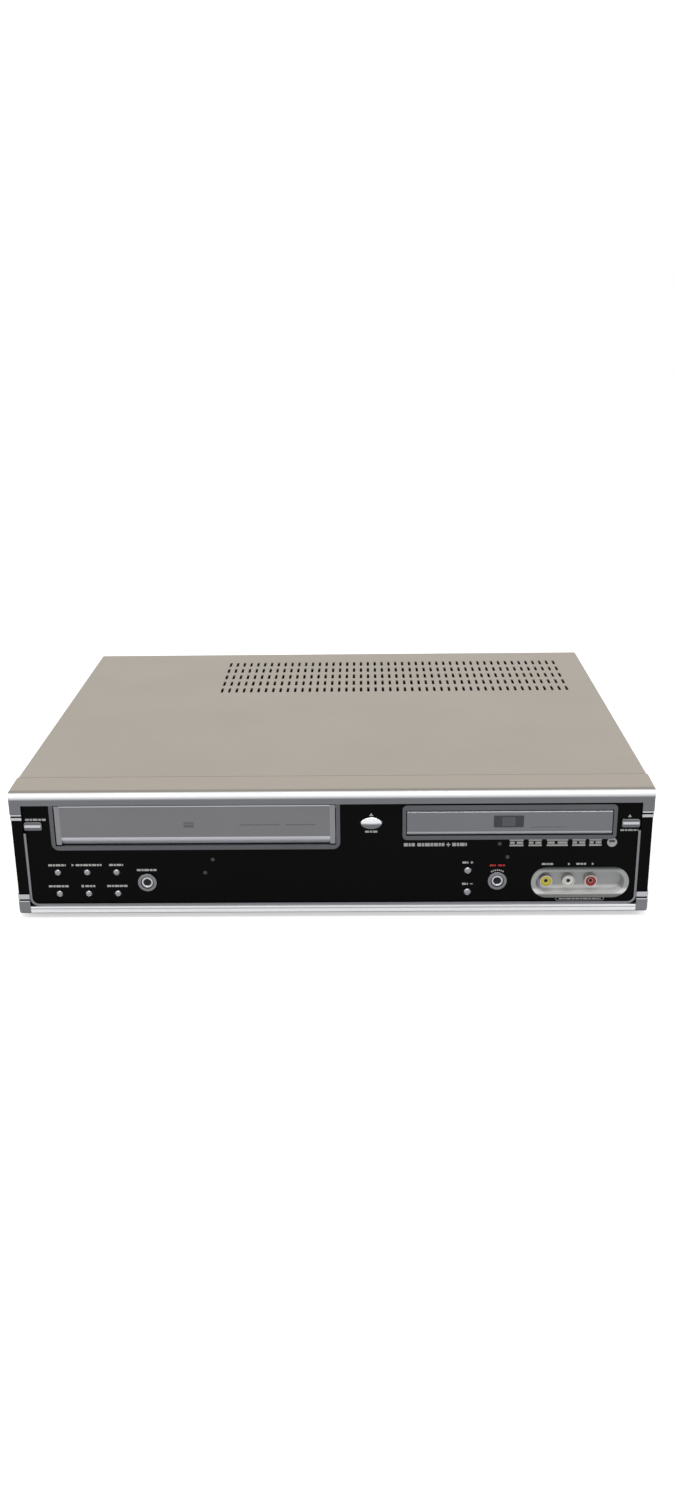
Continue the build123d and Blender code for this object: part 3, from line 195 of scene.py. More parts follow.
def objectPlace(group, stretch=(1, 1, 1)):
    place = group.nodes.new("ShaderNodeTexCoord")
    mapping = group.nodes.new("ShaderNodeMapping")
    mapping.inputs["Scale"].default_value = stretch
    group.links.new(place.outputs["Object"], mapping.inputs["Vector"])
    return mapping.outputs["Vector"]


def noiseFrom(group, vector, scale, detail):
    noise = group.nodes.new("ShaderNodeTexNoise")
    noise.inputs["Detail"].default_value = detail
    group.links.new(vector, noise.inputs["Vector"])
    group.links.new(scale, noise.inputs["Scale"])
    return noise.outputs["Fac"]


noiseSpan = (0.3, 0.7)      # most of a noise value lies in this range


def spread(group, value, low, high):
    remap = group.nodes.new("ShaderNodeMapRange")
    remap.inputs["From Min"].default_value = noiseSpan[0]
    remap.inputs["From Max"].default_value = noiseSpan[1]
    group.links.new(value, remap.inputs["Value"])
    group.links.new(low, remap.inputs["To Min"])
    group.links.new(high, remap.inputs["To Max"])
    return remap.outputs["Result"]


def blendTones(group, factor, tone, shade):
    mix = group.nodes.new("ShaderNodeMix")
    mix.data_type = "RGBA"
    group.links.new(factor, mix.inputs["Factor"])
    group.links.new(tone, mix.inputs["A"])
    group.links.new(shade, mix.inputs["B"])
    return mix.outputs["Result"]


# broad patches and fine grain, mixed into one value that steers tone and roughness
surfaceMix = dict(patchDetail=4.0, grainDetail=2.0, grainShare=0.6)


def makeSurfaceGroup(name, stretch):
    inputs = [
        ("Tone", "Color", (0.5, 0.5, 0.5, 1)),
        ("Shade", "Color", (0.4, 0.4, 0.4, 1)),
        ("Patch Scale", "Float", 12.0),
        ("Grain Scale", "Float", 1500.0),
        ("Rough Low", "Float", 0.3),
        ("Rough High", "Float", 0.4),
    ]
    outputs = [("Color", "Color"), ("Roughness", "Float"), ("Height", "Float")]
    group, given, result = newGroup(name, inputs, outputs)
    patches = noiseFrom(group, objectPlace(group), given["Patch Scale"], surfaceMix["patchDetail"])
    grain = noiseFrom(group, objectPlace(group, stretch), given["Grain Scale"], surfaceMix["grainDetail"])
    weakGrain = group.nodes.new("ShaderNodeMath")
    weakGrain.operation = "MULTIPLY_ADD"
    weakGrain.inputs[1].default_value = surfaceMix["grainShare"]
    weakGrain.inputs[2].default_value = -surfaceMix["grainShare"] / 2
    group.links.new(grain, weakGrain.inputs[0])
    mixed = group.nodes.new("ShaderNodeMath")
    mixed.operation = "ADD"
    mixed.use_clamp = True
    group.links.new(patches, mixed.inputs[0])
    group.links.new(weakGrain.outputs[0], mixed.inputs[1])
    steer = mixed.outputs[0]
    group.links.new(blendTones(group, steer, given["Tone"], given["Shade"]), result["Color"])
    group.links.new(spread(group, steer, given["Rough Low"], given["Rough High"]), result["Roughness"])
    group.links.new(grain, result["Height"])
    return group


surfaceGroups = dict(
    grain=makeSurfaceGroup("moulded grain", (1, 1, 1)),
    brush=makeSurfaceGroup("brushed lines along the width", (0.02, 1, 1)),
    draw=makeSurfaceGroup("drawn lines along the depth", (1, 0.02, 1)),
)


zincSpangle = dict(scale=160.0, rough=(0.28, 0.5))


def makeSpangleGroup():
    inputs = [("Tone", "Color", (0.5, 0.5, 0.5, 1)), ("Shade", "Color", (0.4, 0.4, 0.4, 1))]
    group, given, result = newGroup("zinc spangle", inputs, [("Color", "Color"), ("Roughness", "Float")])
    cells = group.nodes.new("ShaderNodeTexVoronoi")
    cells.inputs["Scale"].default_value = zincSpangle["scale"]
    group.links.new(objectPlace(group), cells.inputs["Vector"])
    split = group.nodes.new("ShaderNodeSeparateColor")
    group.links.new(cells.outputs["Color"], split.inputs["Color"])
    group.links.new(blendTones(group, split.outputs["Red"], given["Tone"], given["Shade"]), result["Color"])
    low, high = zincSpangle["rough"]
    rough = group.nodes.new("ShaderNodeMapRange")
    rough.inputs["To Min"].default_value = low
    rough.inputs["To Max"].default_value = high
    group.links.new(split.outputs["Green"], rough.inputs["Value"])
    group.links.new(rough.outputs["Result"], result["Roughness"])
    return group


boardTracks = {"Scale": 220.0, "Mortar Size": 0.04, "Brick Width": 2.4, "Row Height": 0.25}
trackBreaks = dict(offset=0.37, everyOffset=3, squash=0.6, everySquash=4)


def makeTraceGroup():
    inputs = [("Tone", "Color", (0.05, 0.2, 0.1, 1)), ("Shade", "Color", (0.1, 0.3, 0.15, 1))]
    group, given, result = newGroup("board traces", inputs, [("Color", "Color"), ("Height", "Float")])
    split = group.nodes.new("ShaderNodeSeparateXYZ")
    group.links.new(objectPlace(group), split.inputs[0])
    rise = group.nodes.new("ShaderNodeMath")        # lying and standing boards both get rows
    group.links.new(split.outputs["Y"], rise.inputs[0])
    group.links.new(split.outputs["Z"], rise.inputs[1])
    join = group.nodes.new("ShaderNodeCombineXYZ")
    group.links.new(split.outputs["X"], join.inputs["X"])
    group.links.new(rise.outputs[0], join.inputs["Y"])
    tracks = group.nodes.new("ShaderNodeTexBrick")
    tracks.offset = trackBreaks["offset"]
    tracks.offset_frequency = trackBreaks["everyOffset"]
    tracks.squash = trackBreaks["squash"]
    tracks.squash_frequency = trackBreaks["everySquash"]
    for label, value in boardTracks.items():
        tracks.inputs[label].default_value = value
    group.links.new(join.outputs[0], tracks.inputs["Vector"])
    group.links.new(blendTones(group, tracks.outputs["Fac"], given["Tone"], given["Shade"]), result["Color"])
    group.links.new(tracks.outputs["Fac"], result["Height"])
    return group


def makeZoneGroup():
    inputs = [
        ("Below", "Color", (0.5, 0.5, 0.5, 1)),
        ("Above", "Color", (0.5, 0.5, 0.5, 1)),
        ("Start", "Float", 0.0),
        ("End", "Float", 0.01),
        ("Axis", "Vector", (0, 0, 1)),
    ]
    group, given, result = newGroup("tone zone", inputs, [("Color", "Color"), ("Mask", "Float")])
    along = group.nodes.new("ShaderNodeVectorMath")
    along.operation = "DOT_PRODUCT"
    group.links.new(objectPlace(group), along.inputs[0])
    group.links.new(given["Axis"], along.inputs[1])
    ramp = group.nodes.new("ShaderNodeMapRange")
    ramp.interpolation_type = "SMOOTHSTEP"
    group.links.new(along.outputs["Value"], ramp.inputs["Value"])
    group.links.new(given["Start"], ramp.inputs["From Min"])
    group.links.new(given["End"], ramp.inputs["From Max"])
    mask = ramp.outputs["Result"]
    group.links.new(blendTones(group, mask, given["Below"], given["Above"]), result["Color"])
    group.links.new(mask, result["Mask"])
    return group


spangleGroup = makeSpangleGroup()
traceGroup = makeTraceGroup()
zoneGroup = makeZoneGroup()


def linear(tone):     # screen tones of 0 to 255 to the linear light that shaders take
    shares = [c / 255 for c in tone]
    return (*[c / 12.92 if c <= 0.04045 else ((c + 0.055) / 1.055) ** 2.4 for c in shares], 1)


def placeGroup(tree, group, values):
    node = tree.nodes.new("ShaderNodeGroup")
    node.node_tree = group
    for label, value in values.items():
        node.inputs[label].default_value = value
    return node


# finishes of the deck; tones are 0 to 255, set after the photo where it shows the part
def plastic(tone, shade, rough, grain=1800, bump=0.12, **more):
    return dict(tone=tone, shade=shade, metal=0.0, rough=rough, grain=grain, bump=bump, **more)


def metal(tone, shade, rough, grain=1500, bump=0.04, **more):
    return dict(tone=tone, shade=shade, metal=1.0, rough=rough, grain=grain, bump=bump, **more)


def silverPaint(tone, shade, share, rough, grain=2600, bump=0.06, **more):
    return dict(tone=tone, shade=shade, metal=share, rough=rough, grain=grain, bump=bump, **more)


finishes = dict(
    cover_paint=silverPaint((168, 159, 147), (163, 155, 143), 0.5, (0.4, 0.46)),
    galvanised_sheet=metal((186, 188, 188), (158, 161, 163), None, kind="spangle"),
    rear_paint=plastic((52, 53, 55), (44, 45, 47), (0.45, 0.58), bump=0.22),
    foot_rubber=plastic((34, 34, 35), (25, 25, 26), (0.7, 0.85), grain=2200, bump=0.3),
    screw_steel=metal((150, 150, 152), (118, 118, 121), (0.25, 0.4)),
    panel_black=plastic((5, 5, 6), (8, 8, 9), (0.10, 0.16), grain=900, bump=0.01, specular=0.05),
    rail_silver=metal((120, 121, 124), (114, 115, 118), (0.28, 0.34), grain=2600, bump=0.02),
    # the lip's near-white tone is a painted highlight; its ends are set back to grey in the tone zones
    lip_silver=metal((250, 250, 252), (242, 243, 245), (0.26, 0.34), grain=2600, bump=0.02),
    strip_chrome=metal((200, 202, 206), (182, 184, 189), (0.10, 0.18), grain=900, bump=0.02),
    ring_chrome=metal((136, 137, 140), (116, 118, 122), (0.10, 0.18), grain=900, bump=0.02),
    bead_chrome=metal((206, 208, 211), (188, 190, 195), (0.08, 0.14), grain=900, bump=0.02),
    trim_silver=metal((138, 140, 144), (122, 124, 128), (0.16, 0.24), grain=1200, bump=0.02),
    surround_silver=metal((100, 102, 105), (90, 92, 95), (0.3, 0.4), grain=2400),
    flap_silver=metal((126, 126, 129), (120, 120, 123), (0.32, 0.42), grain=2600),
    tray_silver=metal((122, 124, 128), (115, 117, 121), (0.3, 0.4), grain=2600),
    dish_silver=silverPaint((172, 173, 173), (154, 155, 155), 0.35, (0.3, 0.4), grain=2200),
    button_silver=metal((158, 159, 162), (136, 138, 142), (0.12, 0.2), bump=0.03),
    key_silver=metal((112, 113, 116), (100, 101, 105), (0.18, 0.28), bump=0.03),
    eject_chrome=metal((124, 125, 130), (110, 112, 117), (0.1, 0.16), bump=0.02),
    round_dish=metal((50, 51, 54), (36, 37, 40), (0.1, 0.16), bump=0.02),
    jack_metal=metal((214, 212, 206), (188, 186, 180), (0.12, 0.2), grain=1400, bump=0.03),
    jack_yellow=plastic((222, 206, 44), (204, 186, 30), (0.3, 0.4), bump=0.04),
    jack_white=plastic((236, 236, 232), (218, 218, 214), (0.3, 0.4), bump=0.04),
    jack_red=plastic((176, 30, 24), (150, 22, 20), (0.3, 0.4), bump=0.04),
    lens_dark=plastic((58, 56, 54), (44, 42, 41), (0.08, 0.14), grain=700, bump=0.02),
    board_green=plastic((26, 82, 46), (52, 120, 70), None, kind="traces"),
    front_board_green=plastic((26, 82, 46), (52, 120, 70), None, kind="traces"),
    socket_black=plastic((24, 24, 26), (17, 17, 18), (0.4, 0.52), bump=0.15),
    tuner_tin=metal((196, 197, 196), (172, 174, 174), (0.2, 0.36), grain=900),
    deck_steel=metal((180, 181, 180), (160, 161, 161), (0.3, 0.42), grain=1300, kind="brush"),
    drum_aluminium=metal((214, 214, 216), (196, 197, 200), (0.12, 0.2), grain=1400, bump=0.03),
    reel_plastic=plastic((40, 40, 42), (30, 30, 32), (0.35, 0.48)),
    loader_plastic=plastic((38, 38, 40), (28, 28, 30), (0.42, 0.55), bump=0.18),
    tray_plastic=plastic((46, 46, 49), (36, 36, 39), (0.4, 0.5), grain=2000, bump=0.16),
    gear_plastic=plastic((226, 222, 208), (210, 205, 190), (0.3, 0.42), bump=0.06),
    belt_rubber=plastic((22, 22, 22), (15, 15, 15), (0.6, 0.75), bump=0.2),
    rod_steel=metal((206, 207, 209), (186, 187, 190), (0.08, 0.16), grain=1200, bump=0.02, kind="draw"),
    sled_metal=metal((128, 130, 134), (108, 110, 114), (0.3, 0.42), bump=0.08),
    label_print=plastic((182, 182, 180), (166, 166, 164), (0.5, 0.6), grain=2500, bump=0.05),
    label_red=plastic((190, 34, 40), (168, 26, 34), (0.5, 0.6), grain=2500, bump=0.05),
    label_grey=metal((104, 105, 108), (98, 99, 102), (0.4, 0.5), grain=2500, bump=0.05),
    badge_dark=plastic((50, 52, 58), (40, 42, 48), (0.25, 0.35), bump=0.04),
    badge_middle=plastic((82, 84, 88), (72, 74, 78), (0.25, 0.35), bump=0.04),
    plate_grey=metal((176, 178, 180), (164, 166, 168), (0.4, 0.5), grain=2000, kind="brush"),
)

# nodes whose look differs from the rest of their slot
nodeFinish = dict(
    bottom_rail="lip_silver",
    panel_trim="trim_silver",
    tray_front="tray_silver",
    power_button="key_silver",
    open_button="key_silver",
    eject_button="eject_chrome",
    left_round_button="round_dish",
    right_round_button="round_dish",
    button_rings="ring_chrome",
    front_board="front_board_green",
)


boardRoughness = 0.38
bumpDepth = 0.2 * mm


def makeFinish(name, look):
    material = bpy.data.materials.new(name)
    material.use_nodes = True
    tree = material.node_tree
    shader = tree.nodes["Principled BSDF"]
    shader.inputs["Metallic"].default_value = look["metal"]
    if "specular" in look:
        shader.inputs["Specular IOR Level"].default_value = look["specular"]
    tones = {"Tone": linear(look["tone"]), "Shade": linear(look["shade"])}
    kind = look.get("kind", "grain")
    if kind == "spangle":
        effect = placeGroup(tree, spangleGroup, tones)
    elif kind == "traces":
        effect = placeGroup(tree, traceGroup, tones)
        shader.inputs["Roughness"].default_value = boardRoughness
    else:
        low, high = look["rough"]
        tones.update({"Grain Scale": look["grain"], "Rough Low": low, "Rough High": high})
        effect = placeGroup(tree, surfaceGroups[kind], tones)
    tree.links.new(effect.outputs["Color"], shader.inputs["Base Color"])
    if "Roughness" in effect.outputs:
        tree.links.new(effect.outputs["Roughness"], shader.inputs["Roughness"])
    if "Height" in effect.outputs:
        bump = tree.nodes.new("ShaderNodeBump")
        bump.inputs["Strength"].default_value = look["bump"]
        bump.inputs["Distance"].default_value = bumpDepth
        tree.links.new(effect.outputs["Height"], bump.inputs["Height"])
        tree.links.new(bump.outputs["Normal"], shader.inputs["Normal"])
    return material


finishMaterials = {name: makeFinish(name, look) for name, look in finishes.items()}


# further tones over part of a node, each along an axis in metres: a painted highlight and a painted darker
# band on the rail rounding, and the rail top in the cover's tone; painted shade, a painted grey line and a
# painted highlight line on the lip, with grey ends;
# painted reflection and painted highlights on the flap and tray edges, with lighter flap ends; painted light
# and shade on the dish walls and rim; a painted reflection on the upper half of the eject button; parts on
# the boards
warmTop = (168, 159, 147)
# rail tones: the darker band tone and the bright edge tone are painted shade and a painted highlight
paintedDarkBand = (138, 132, 123)
paintedHighlight = (228, 229, 231)
blockGrey = (128, 129, 132)
cheekGrey = (140, 140, 144)
toneZones = dict(
    rail_silver=[
        # painted highlight on the rail rounding, a painted darker band behind it, then the top in the cover's
        # tone
        dict(axis=(0, 0, 1), start=0.0868, end=0.0892, tone=paintedHighlight),
        dict(axis=(0, 1, 0), start=-0.1758, end=-0.1744, tone=paintedDarkBand),
        dict(axis=(0, 1, 0), start=-0.1722, end=-0.1702, tone=warmTop, Metallic=0.5, Roughness=0.43),
    ],
    lip_silver=[
        # painted shade along the bottom edge of the lip
        dict(axis=(0, 0, -1), start=-0.0045, end=-0.0037, tone=(96, 97, 100)),
        # a painted grey line under a painted highlight line at the top of the lip
        dict(axis=(0, 0, 1), start=0.0068, end=0.0072, tone=(190, 191, 194)),
        dict(axis=(0, 0, 1), start=0.0078, end=0.0081, tone=(250, 250, 252)),
        dict(axis=(1, 0, 0), start=0.2062, end=0.2068, tone=blockGrey),
        dict(axis=(-1, 0, 0), start=0.2062, end=0.2068, tone=blockGrey),
    ],
    flap_silver=[
        # painted reflection on the flap's lower bevel and a painted highlight along its top edge; the ends
        # are a lighter grey
        dict(axis=(0, 0, -1), start=-0.0602, end=-0.0594, tone=(214, 215, 220)),
        dict(axis=(0, 0, 1), start=0.0816, end=0.0819, tone=(196, 197, 200)),
        dict(axis=(1, 0, 0), start=-0.0006, end=-0.0003, tone=cheekGrey),
        dict(axis=(-1, 0, 0), start=0.1812, end=0.1815, tone=cheekGrey),
    ],
    dish_silver=[
        # painted shade on the dish's top rim, painted light on its lower wall and painted shade on its bottom
        # rim
        dict(axis=(0, 0, 1), start=0.0330, end=0.0358, tone=(60, 61, 63)),
        dict(axis=(0, 0, -1), start=-0.0215, end=-0.0190, tone=(226, 226, 225)),
        dict(axis=(0, 0, -1), start=-0.0172, end=-0.0156, tone=(118, 119, 118)),
    ],
    # painted reflection: the upper half of the eject button is painted bright over its darker tone
    eject_chrome=[dict(axis=(0, 0, 1), start=0.0682, end=0.0700, tone=(242, 243, 247))],
    tray_silver=[
        # painted highlights on the lower bevel and along the top edge of the tray front
        dict(axis=(0, 0, -1), start=-0.0632, end=-0.0626, tone=(186, 188, 192)),
        dict(axis=(0, 0, 1), start=0.0767, end=0.0770, tone=(190, 192, 196)),
    ],
    board_green=[dict(axis=(0, 0, 1), start=0.01465, end=0.01475, tone=(40, 40, 42))],
    front_board_green=[dict(axis=(0, -1, 0), start=0.1625, end=0.1626, tone=(40, 40, 42))],
)


def blendValue(tree, socket, mask, value):
    mix = tree.nodes.new("ShaderNodeMix")
    mix.inputs["B"].default_value = value
    tree.links.new(mask, mix.inputs["Factor"])
    if socket.links:
        tree.links.new(socket.links[0].from_socket, mix.inputs["A"])
    else:
        mix.inputs["A"].default_value = socket.default_value
    tree.links.new(mix.outputs["Result"], socket)


def addZones(name, zones):
    tree = finishMaterials[name].node_tree
    shader = tree.nodes["Principled BSDF"]
    for zone in zones:
        source = shader.inputs["Base Color"].links[0].from_socket
        values = {
            "Above": linear(zone["tone"]),
            "Start": zone["start"],
            "End": zone["end"],
            "Axis": zone["axis"],
        }
        node = placeGroup(tree, zoneGroup, values)
        tree.links.new(source, node.inputs["Below"])
        tree.links.new(node.outputs["Color"], shader.inputs["Base Color"])
        for label in ("Metallic", "Roughness"):
            if label in zone:
                blendValue(tree, shader.inputs[label], node.outputs["Mask"], zone[label])


for name, zones in toneZones.items():
    addZones(name, zones)


slotOf = {row["node"]: row["material_slot"] for row in frame["record"]["subparts"]}
for name, node in nodes.items():
    for index in range(len(node.material_slots)):
        node.material_slots[index].material = finishMaterials[nodeFinish.get(name, slotOf[name])]
print("finishes on", len(nodes), "nodes")


# pieces, smooth but for edges past the sharp angle
weldReach = 1e-7
sharpAngle = math.radians(38)


def addPiece(name, bm, finish, body):
    bmesh.ops.remove_doubles(bm, verts=bm.verts, dist=weldReach)
    bmesh.ops.recalc_face_normals(bm, faces=bm.faces)
    for face in bm.faces:
        face.smooth = True
    for edge in bm.edges:
        edge.smooth = edge.calc_face_angle(math.pi) < sharpAngle
    mesh = bpy.data.meshes.new(name)
    bm.to_mesh(mesh)
    bm.free()
    mesh.materials.append(finishMaterials[finish])
    piece = bpy.data.objects.new(name, mesh)
    scene.collection.objects.link(piece)
    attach(piece, body)


frontTurn = Matrix.Rotation(math.radians(90), 4, "X")   # flat shapes face the front
rearTurn = Matrix.Rotation(math.radians(-90), 4, "X")   # flat shapes face the back
cornerSteps = 3


# sizes and places of pieces are in mm from here on
def flatShape(bm, x, z, y, width, height, sides=4, corner=0.0, turn=0.0, facing=frontTurn):
    spin = Matrix.Rotation(math.radians(turn), 4, "Z")
    size = Matrix.Diagonal((width * mm, height * mm, 1, 1))
    place = Matrix.Translation((x * mm, y * mm, z * mm)) @ facing @ spin @ size
    if sides == 4:
        made = bmesh.ops.create_grid(bm, x_segments=1, y_segments=1, size=0.5, matrix=place)
    else:
        made = bmesh.ops.create_circle(bm, cap_ends=True, segments=sides, radius=0.5, matrix=place)
    if corner:
        bmesh.ops.bevel(
            bm, geom=made["verts"], offset=corner * mm, offset_type="OFFSET",
            affect="VERTICES", segments=cornerSteps, profile=0.5, material=-1,
        )


def thicken(bm, x=0.0, y=0.0):
    made = bmesh.ops.extrude_face_region(bm, geom=bm.faces[:], use_keep_orig=True)
    moved = [item for item in made["geom"] if isinstance(item, bmesh.types.BMVert)]
    bmesh.ops.translate(bm, verts=moved, vec=(x * mm, y * mm, 0))


# row of plain short bars that stands for a printed label
printRow = dict(
    bars=(2.7, 1.5, 3.3, 1.9),
    gap=0.45,
    shortest=0.6,
    corner=0.25,
    cornerShare=0.3,
    heightShare=0.8,
)


def labelBars(bm, start, end, z, y, height, facing=frontTurn):
    bars = printRow["bars"]
    x = start
    index = 0
    while x < end - printRow["shortest"]:
        width = min(bars[index % len(bars)], end - x)
        corner = min(printRow["corner"], printRow["cornerShare"] * min(width, height))
        barHeight = height * printRow["heightShare"]
        flatShape(bm, x + width / 2, z, y, width, barHeight, corner=corner, facing=facing)
        x += width + printRow["gap"]
        index += 1


# labels are (start, end, z, height), signs are (x, z, width, height or bar)
panelMarks = dict(
    face=-176.1,
    proud=0.06,
    labels=[
        (-204.9, -190.8, 72.5, 1.9),
        (193.2, 205.2, 62.7, 1.5),
        (23.0, 31.2, 62.6, 1.8),
        (-192.3, -180.4, 39.1, 1.8),
        (-173.6, -155.9, 39.1, 1.8),
        (-150.8, -141.3, 39.1, 1.8),
        (-193.3, -179.7, 23.4, 1.8),
        (-168.2, -161.5, 23.4, 1.8),
        (-153.3, -139.3, 23.4, 1.8),
        (-132.2, -118.8, 35.2, 1.8),
        (88.6, 92.6, 39.6, 1.8),
        (88.6, 92.6, 23.8, 1.8),
        (49.0, 56.4, 52.9, 3.0),
        (58.0, 76.2, 52.9, 3.0),
        (81.4, 91.2, 52.9, 3.0),
        (142.0, 149.6, 38.2, 1.7),
        (159.6, 160.8, 38.2, 1.7),
        (165.2, 171.8, 38.2, 1.7),
        (175.6, 176.8, 38.2, 1.7),
        (154.6, 183.0, 12.3, 1.1),
    ],
    plusSigns=[(78.8, 52.9, 2.8, 0.8), (94.9, 39.6, 1.9, 0.55)],
    minusSign=(94.9, 23.8, 1.9, 0.55),
    ejectSigns=[(27.15, 74.5, 3.4, 2.8), (198.9, 72.7, 3.0, 2.6)],
    playSign=(-175.8, 39.1, 2.3, 2.3),
    stopSign=(-170.0, 23.4, 1.7, 1.7),
    stopCorner=0.1,
)


def plusMark(bm, x, z, y, size, bar):
    arm = (size - bar) / 2
    flatShape(bm, x, z, y, size, bar)
    for side in (-1, 1):
        flatShape(bm, x, z + side * (bar + arm) / 2, y, bar, arm)


def makePanelMarks(marks):
    face = marks["face"]
    bm = bmesh.new()
    for start, end, z, height in marks["labels"]:
        labelBars(bm, start, end, z, face, height)
    for x, z, size, bar in marks["plusSigns"]:
        plusMark(bm, x, z, face, size, bar)
    x, z, width, height = marks["minusSign"]
    flatShape(bm, x, z, face, width, height)
    for x, z, width, height in marks["ejectSigns"]:
        flatShape(bm, x, z, face, width, height, sides=3)
    x, z, width, height = marks["playSign"]
    flatShape(bm, x, z, face, width, height, sides=3, turn=-90)
    x, z, width, height = marks["stopSign"]
    flatShape(bm, x, z, face, width, height, corner=marks["stopCorner"])
    thicken(bm, y=-marks["proud"])
    addPiece("panel_marks", bm, "label_print", "case")


# red bars over the right ring, and short bars round its top
recordMarks = dict(
    spans=[(107.0, 111.2), (112.6, 118.0)],
    z=37.4,
    height=1.6,
    ringPlace=(112.3, 26.2),
    ringReach=7.7,
    ringAngles=range(60, 121, 10),
    ringBar=(0.9, 1.0),
    ringCorner=0.1,
)


def makeRecordMarks(record, marks):
    bm = bmesh.new()
    for start, end in record["spans"]:
        labelBars(bm, start, end, record["z"], marks["face"], record["height"])
    thicken(bm, y=-marks["proud"])
    addPiece("record_marks", bm, "label_red", "case")
    bm = bmesh.new()
    middleX, middleZ = record["ringPlace"]
    width, height = record["ringBar"]
    for degrees in record["ringAngles"]:
        x = middleX + record["ringReach"] * math.cos(math.radians(degrees))
        z = middleZ + record["ringReach"] * math.sin(math.radians(degrees))
        flatShape(bm, x, z, marks["face"], width, height, corner=record["ringCorner"], turn=degrees - 90)
    thicken(bm, y=-marks["proud"])
    addPiece("ring_marks", bm, "label_print", "case")


# light tabs under the tray front: bars above and below, two between them, and one round tab with a dark bar
formatTabs = dict(
    z=53.9,
    spans=[(119.8, 129.2), (132.5, 141.4), (144.7, 158.9), (161.7, 170.6), (173.0, 181.4)],
    outerRise=1.9,
    outerHeight=1.2,
    outerCorner=0.4,
    innerBars=[(-0.3, 0.34), (0.24, 0.46)],     # middle and width, as shares of the tab's width
    innerHeight=1.6,
    innerCorner=0.3,
    roundX=188.3,
    roundSize=6.6,
    roundSides=24,
    darkRise=0.9,
    darkShare=0.6,
    darkHeight=1.6,
    darkCorner=0.4,
    darkProud=0.05,
)


def makeFormatTabs(tabs, marks):
    face = marks["face"]
    bm = bmesh.new()
    for start, end in tabs["spans"]:
        middle, width = (start + end) / 2, end - start
        for side in (1, -1):
            z = tabs["z"] + side * tabs["outerRise"]
            flatShape(bm, middle, z, face, width, tabs["outerHeight"], corner=tabs["outerCorner"])
        for offset, share in tabs["innerBars"]:
            x = middle + width * offset
            flatShape(bm, x, tabs["z"], face, width * share, tabs["innerHeight"], corner=tabs["innerCorner"])
    x, size = tabs["roundX"], tabs["roundSize"]
    flatShape(bm, x, tabs["z"], face, size, size, sides=tabs["roundSides"])
    thicken(bm, y=-marks["proud"])
    addPiece("format_tabs", bm, "label_print", "case")
    bm = bmesh.new()
    z = tabs["z"] + tabs["darkRise"]
    width = size * tabs["darkShare"]
    flatShape(bm, x, z, face - marks["proud"], width, tabs["darkHeight"], corner=tabs["darkCorner"])
    thicken(bm, y=-tabs["darkProud"])
    addPiece("round_tab_bar", bm, "badge_dark", "case")


# outlined tab under the socket dish
tabOutline = dict(x=168.7, z=12.3, width=33.0, height=2.5, corner=1.2, line=0.3)


def makeTabOutline(tab, marks):
    bm = bmesh.new()
    flatShape(bm, tab["x"], tab["z"], marks["face"], tab["width"], tab["height"], corner=tab["corner"])
    bmesh.ops.inset_region(
        bm, faces=bm.faces[:], use_boundary=True, use_even_offset=True, thickness=tab["line"] * mm,
    )
    middle = Vector((tab["x"], marks["face"], tab["z"])) * mm
    inner = min(bm.faces, key=lambda face: (face.calc_center_median() - middle).length)
    bmesh.ops.delete(bm, geom=[inner], context="FACES_ONLY")
    thicken(bm, y=-marks["proud"])
    addPiece("socket_tab_outline", bm, "label_print", "case")


makePanelMarks(panelMarks)
makeRecordMarks(recordMarks, panelMarks)
makeFormatTabs(formatTabs, panelMarks)
makeTabOutline(tabOutline, panelMarks)
print("panel marks done")


# faint rows of bars and a tab on the flap
flapMarks = dict(
    face=-177.3,
    proud=0.05,
    rows=[(-61.0, -33.6, 68.4, 0.9), (-29.8, -9.9, 68.4, 0.9)],
    tab=(-95.0, 68.6, 7.0, 4.0),
    tabBars=[(0.35, 0.25), (-0.2, 0.55)],       # rise and height, as shares of the tab's height
    tabCorner=0.3,
)


def makeFlapMarks(marks):
    bm = bmesh.new()
    for start, end, z, height in marks["rows"]:
        labelBars(bm, start, end, z, marks["face"], height)
    x, z, width, height = marks["tab"]
    for rise, share in marks["tabBars"]:
        barZ = z + height * rise
        flatShape(bm, x, barZ, marks["face"], width, height * share, corner=marks["tabCorner"])
    thicken(bm, y=-marks["proud"])
    addPiece("flap_marks", bm, "label_grey", "flap")


# bare dark plate with a paler middle on the tray front, and a row of bars beside it
trayMarks = dict(
    face=-177.9,
    proud=0.05,
    badge=(118.65, 70.1, 19.9, 8.3),
    badgeCorner=0.8,
    badgeProud=0.25,
    middleShares=(0.44, 0.78),
    middleCorner=0.4,
    row=(133.6, 157.0, 66.0, 0.7),
)


def makeTrayMarks(marks):
    x, z, width, height = marks["badge"]
    bm = bmesh.new()
    flatShape(bm, x, z, marks["face"], width, height, corner=marks["badgeCorner"])
    thicken(bm, y=-marks["badgeProud"])
    addPiece("tray_badge", bm, "badge_dark", "tray")
    bm = bmesh.new()
    widthShare, heightShare = marks["middleShares"]
    badgeFace = marks["face"] - marks["badgeProud"]
    flatShape(bm, x, z, badgeFace, width * widthShare, height * heightShare, corner=marks["middleCorner"])
    thicken(bm, y=-marks["proud"])
    addPiece("tray_badge_middle", bm, "badge_middle", "tray")
    start, end, z, height = marks["row"]
    bm = bmesh.new()
    labelBars(bm, start, end, z, marks["face"], height)
    thicken(bm, y=-marks["proud"])
    addPiece("tray_marks", bm, "label_grey", "tray")


makeFlapMarks(flapMarks)
makeTrayMarks(trayMarks)
print("flap and tray marks done")


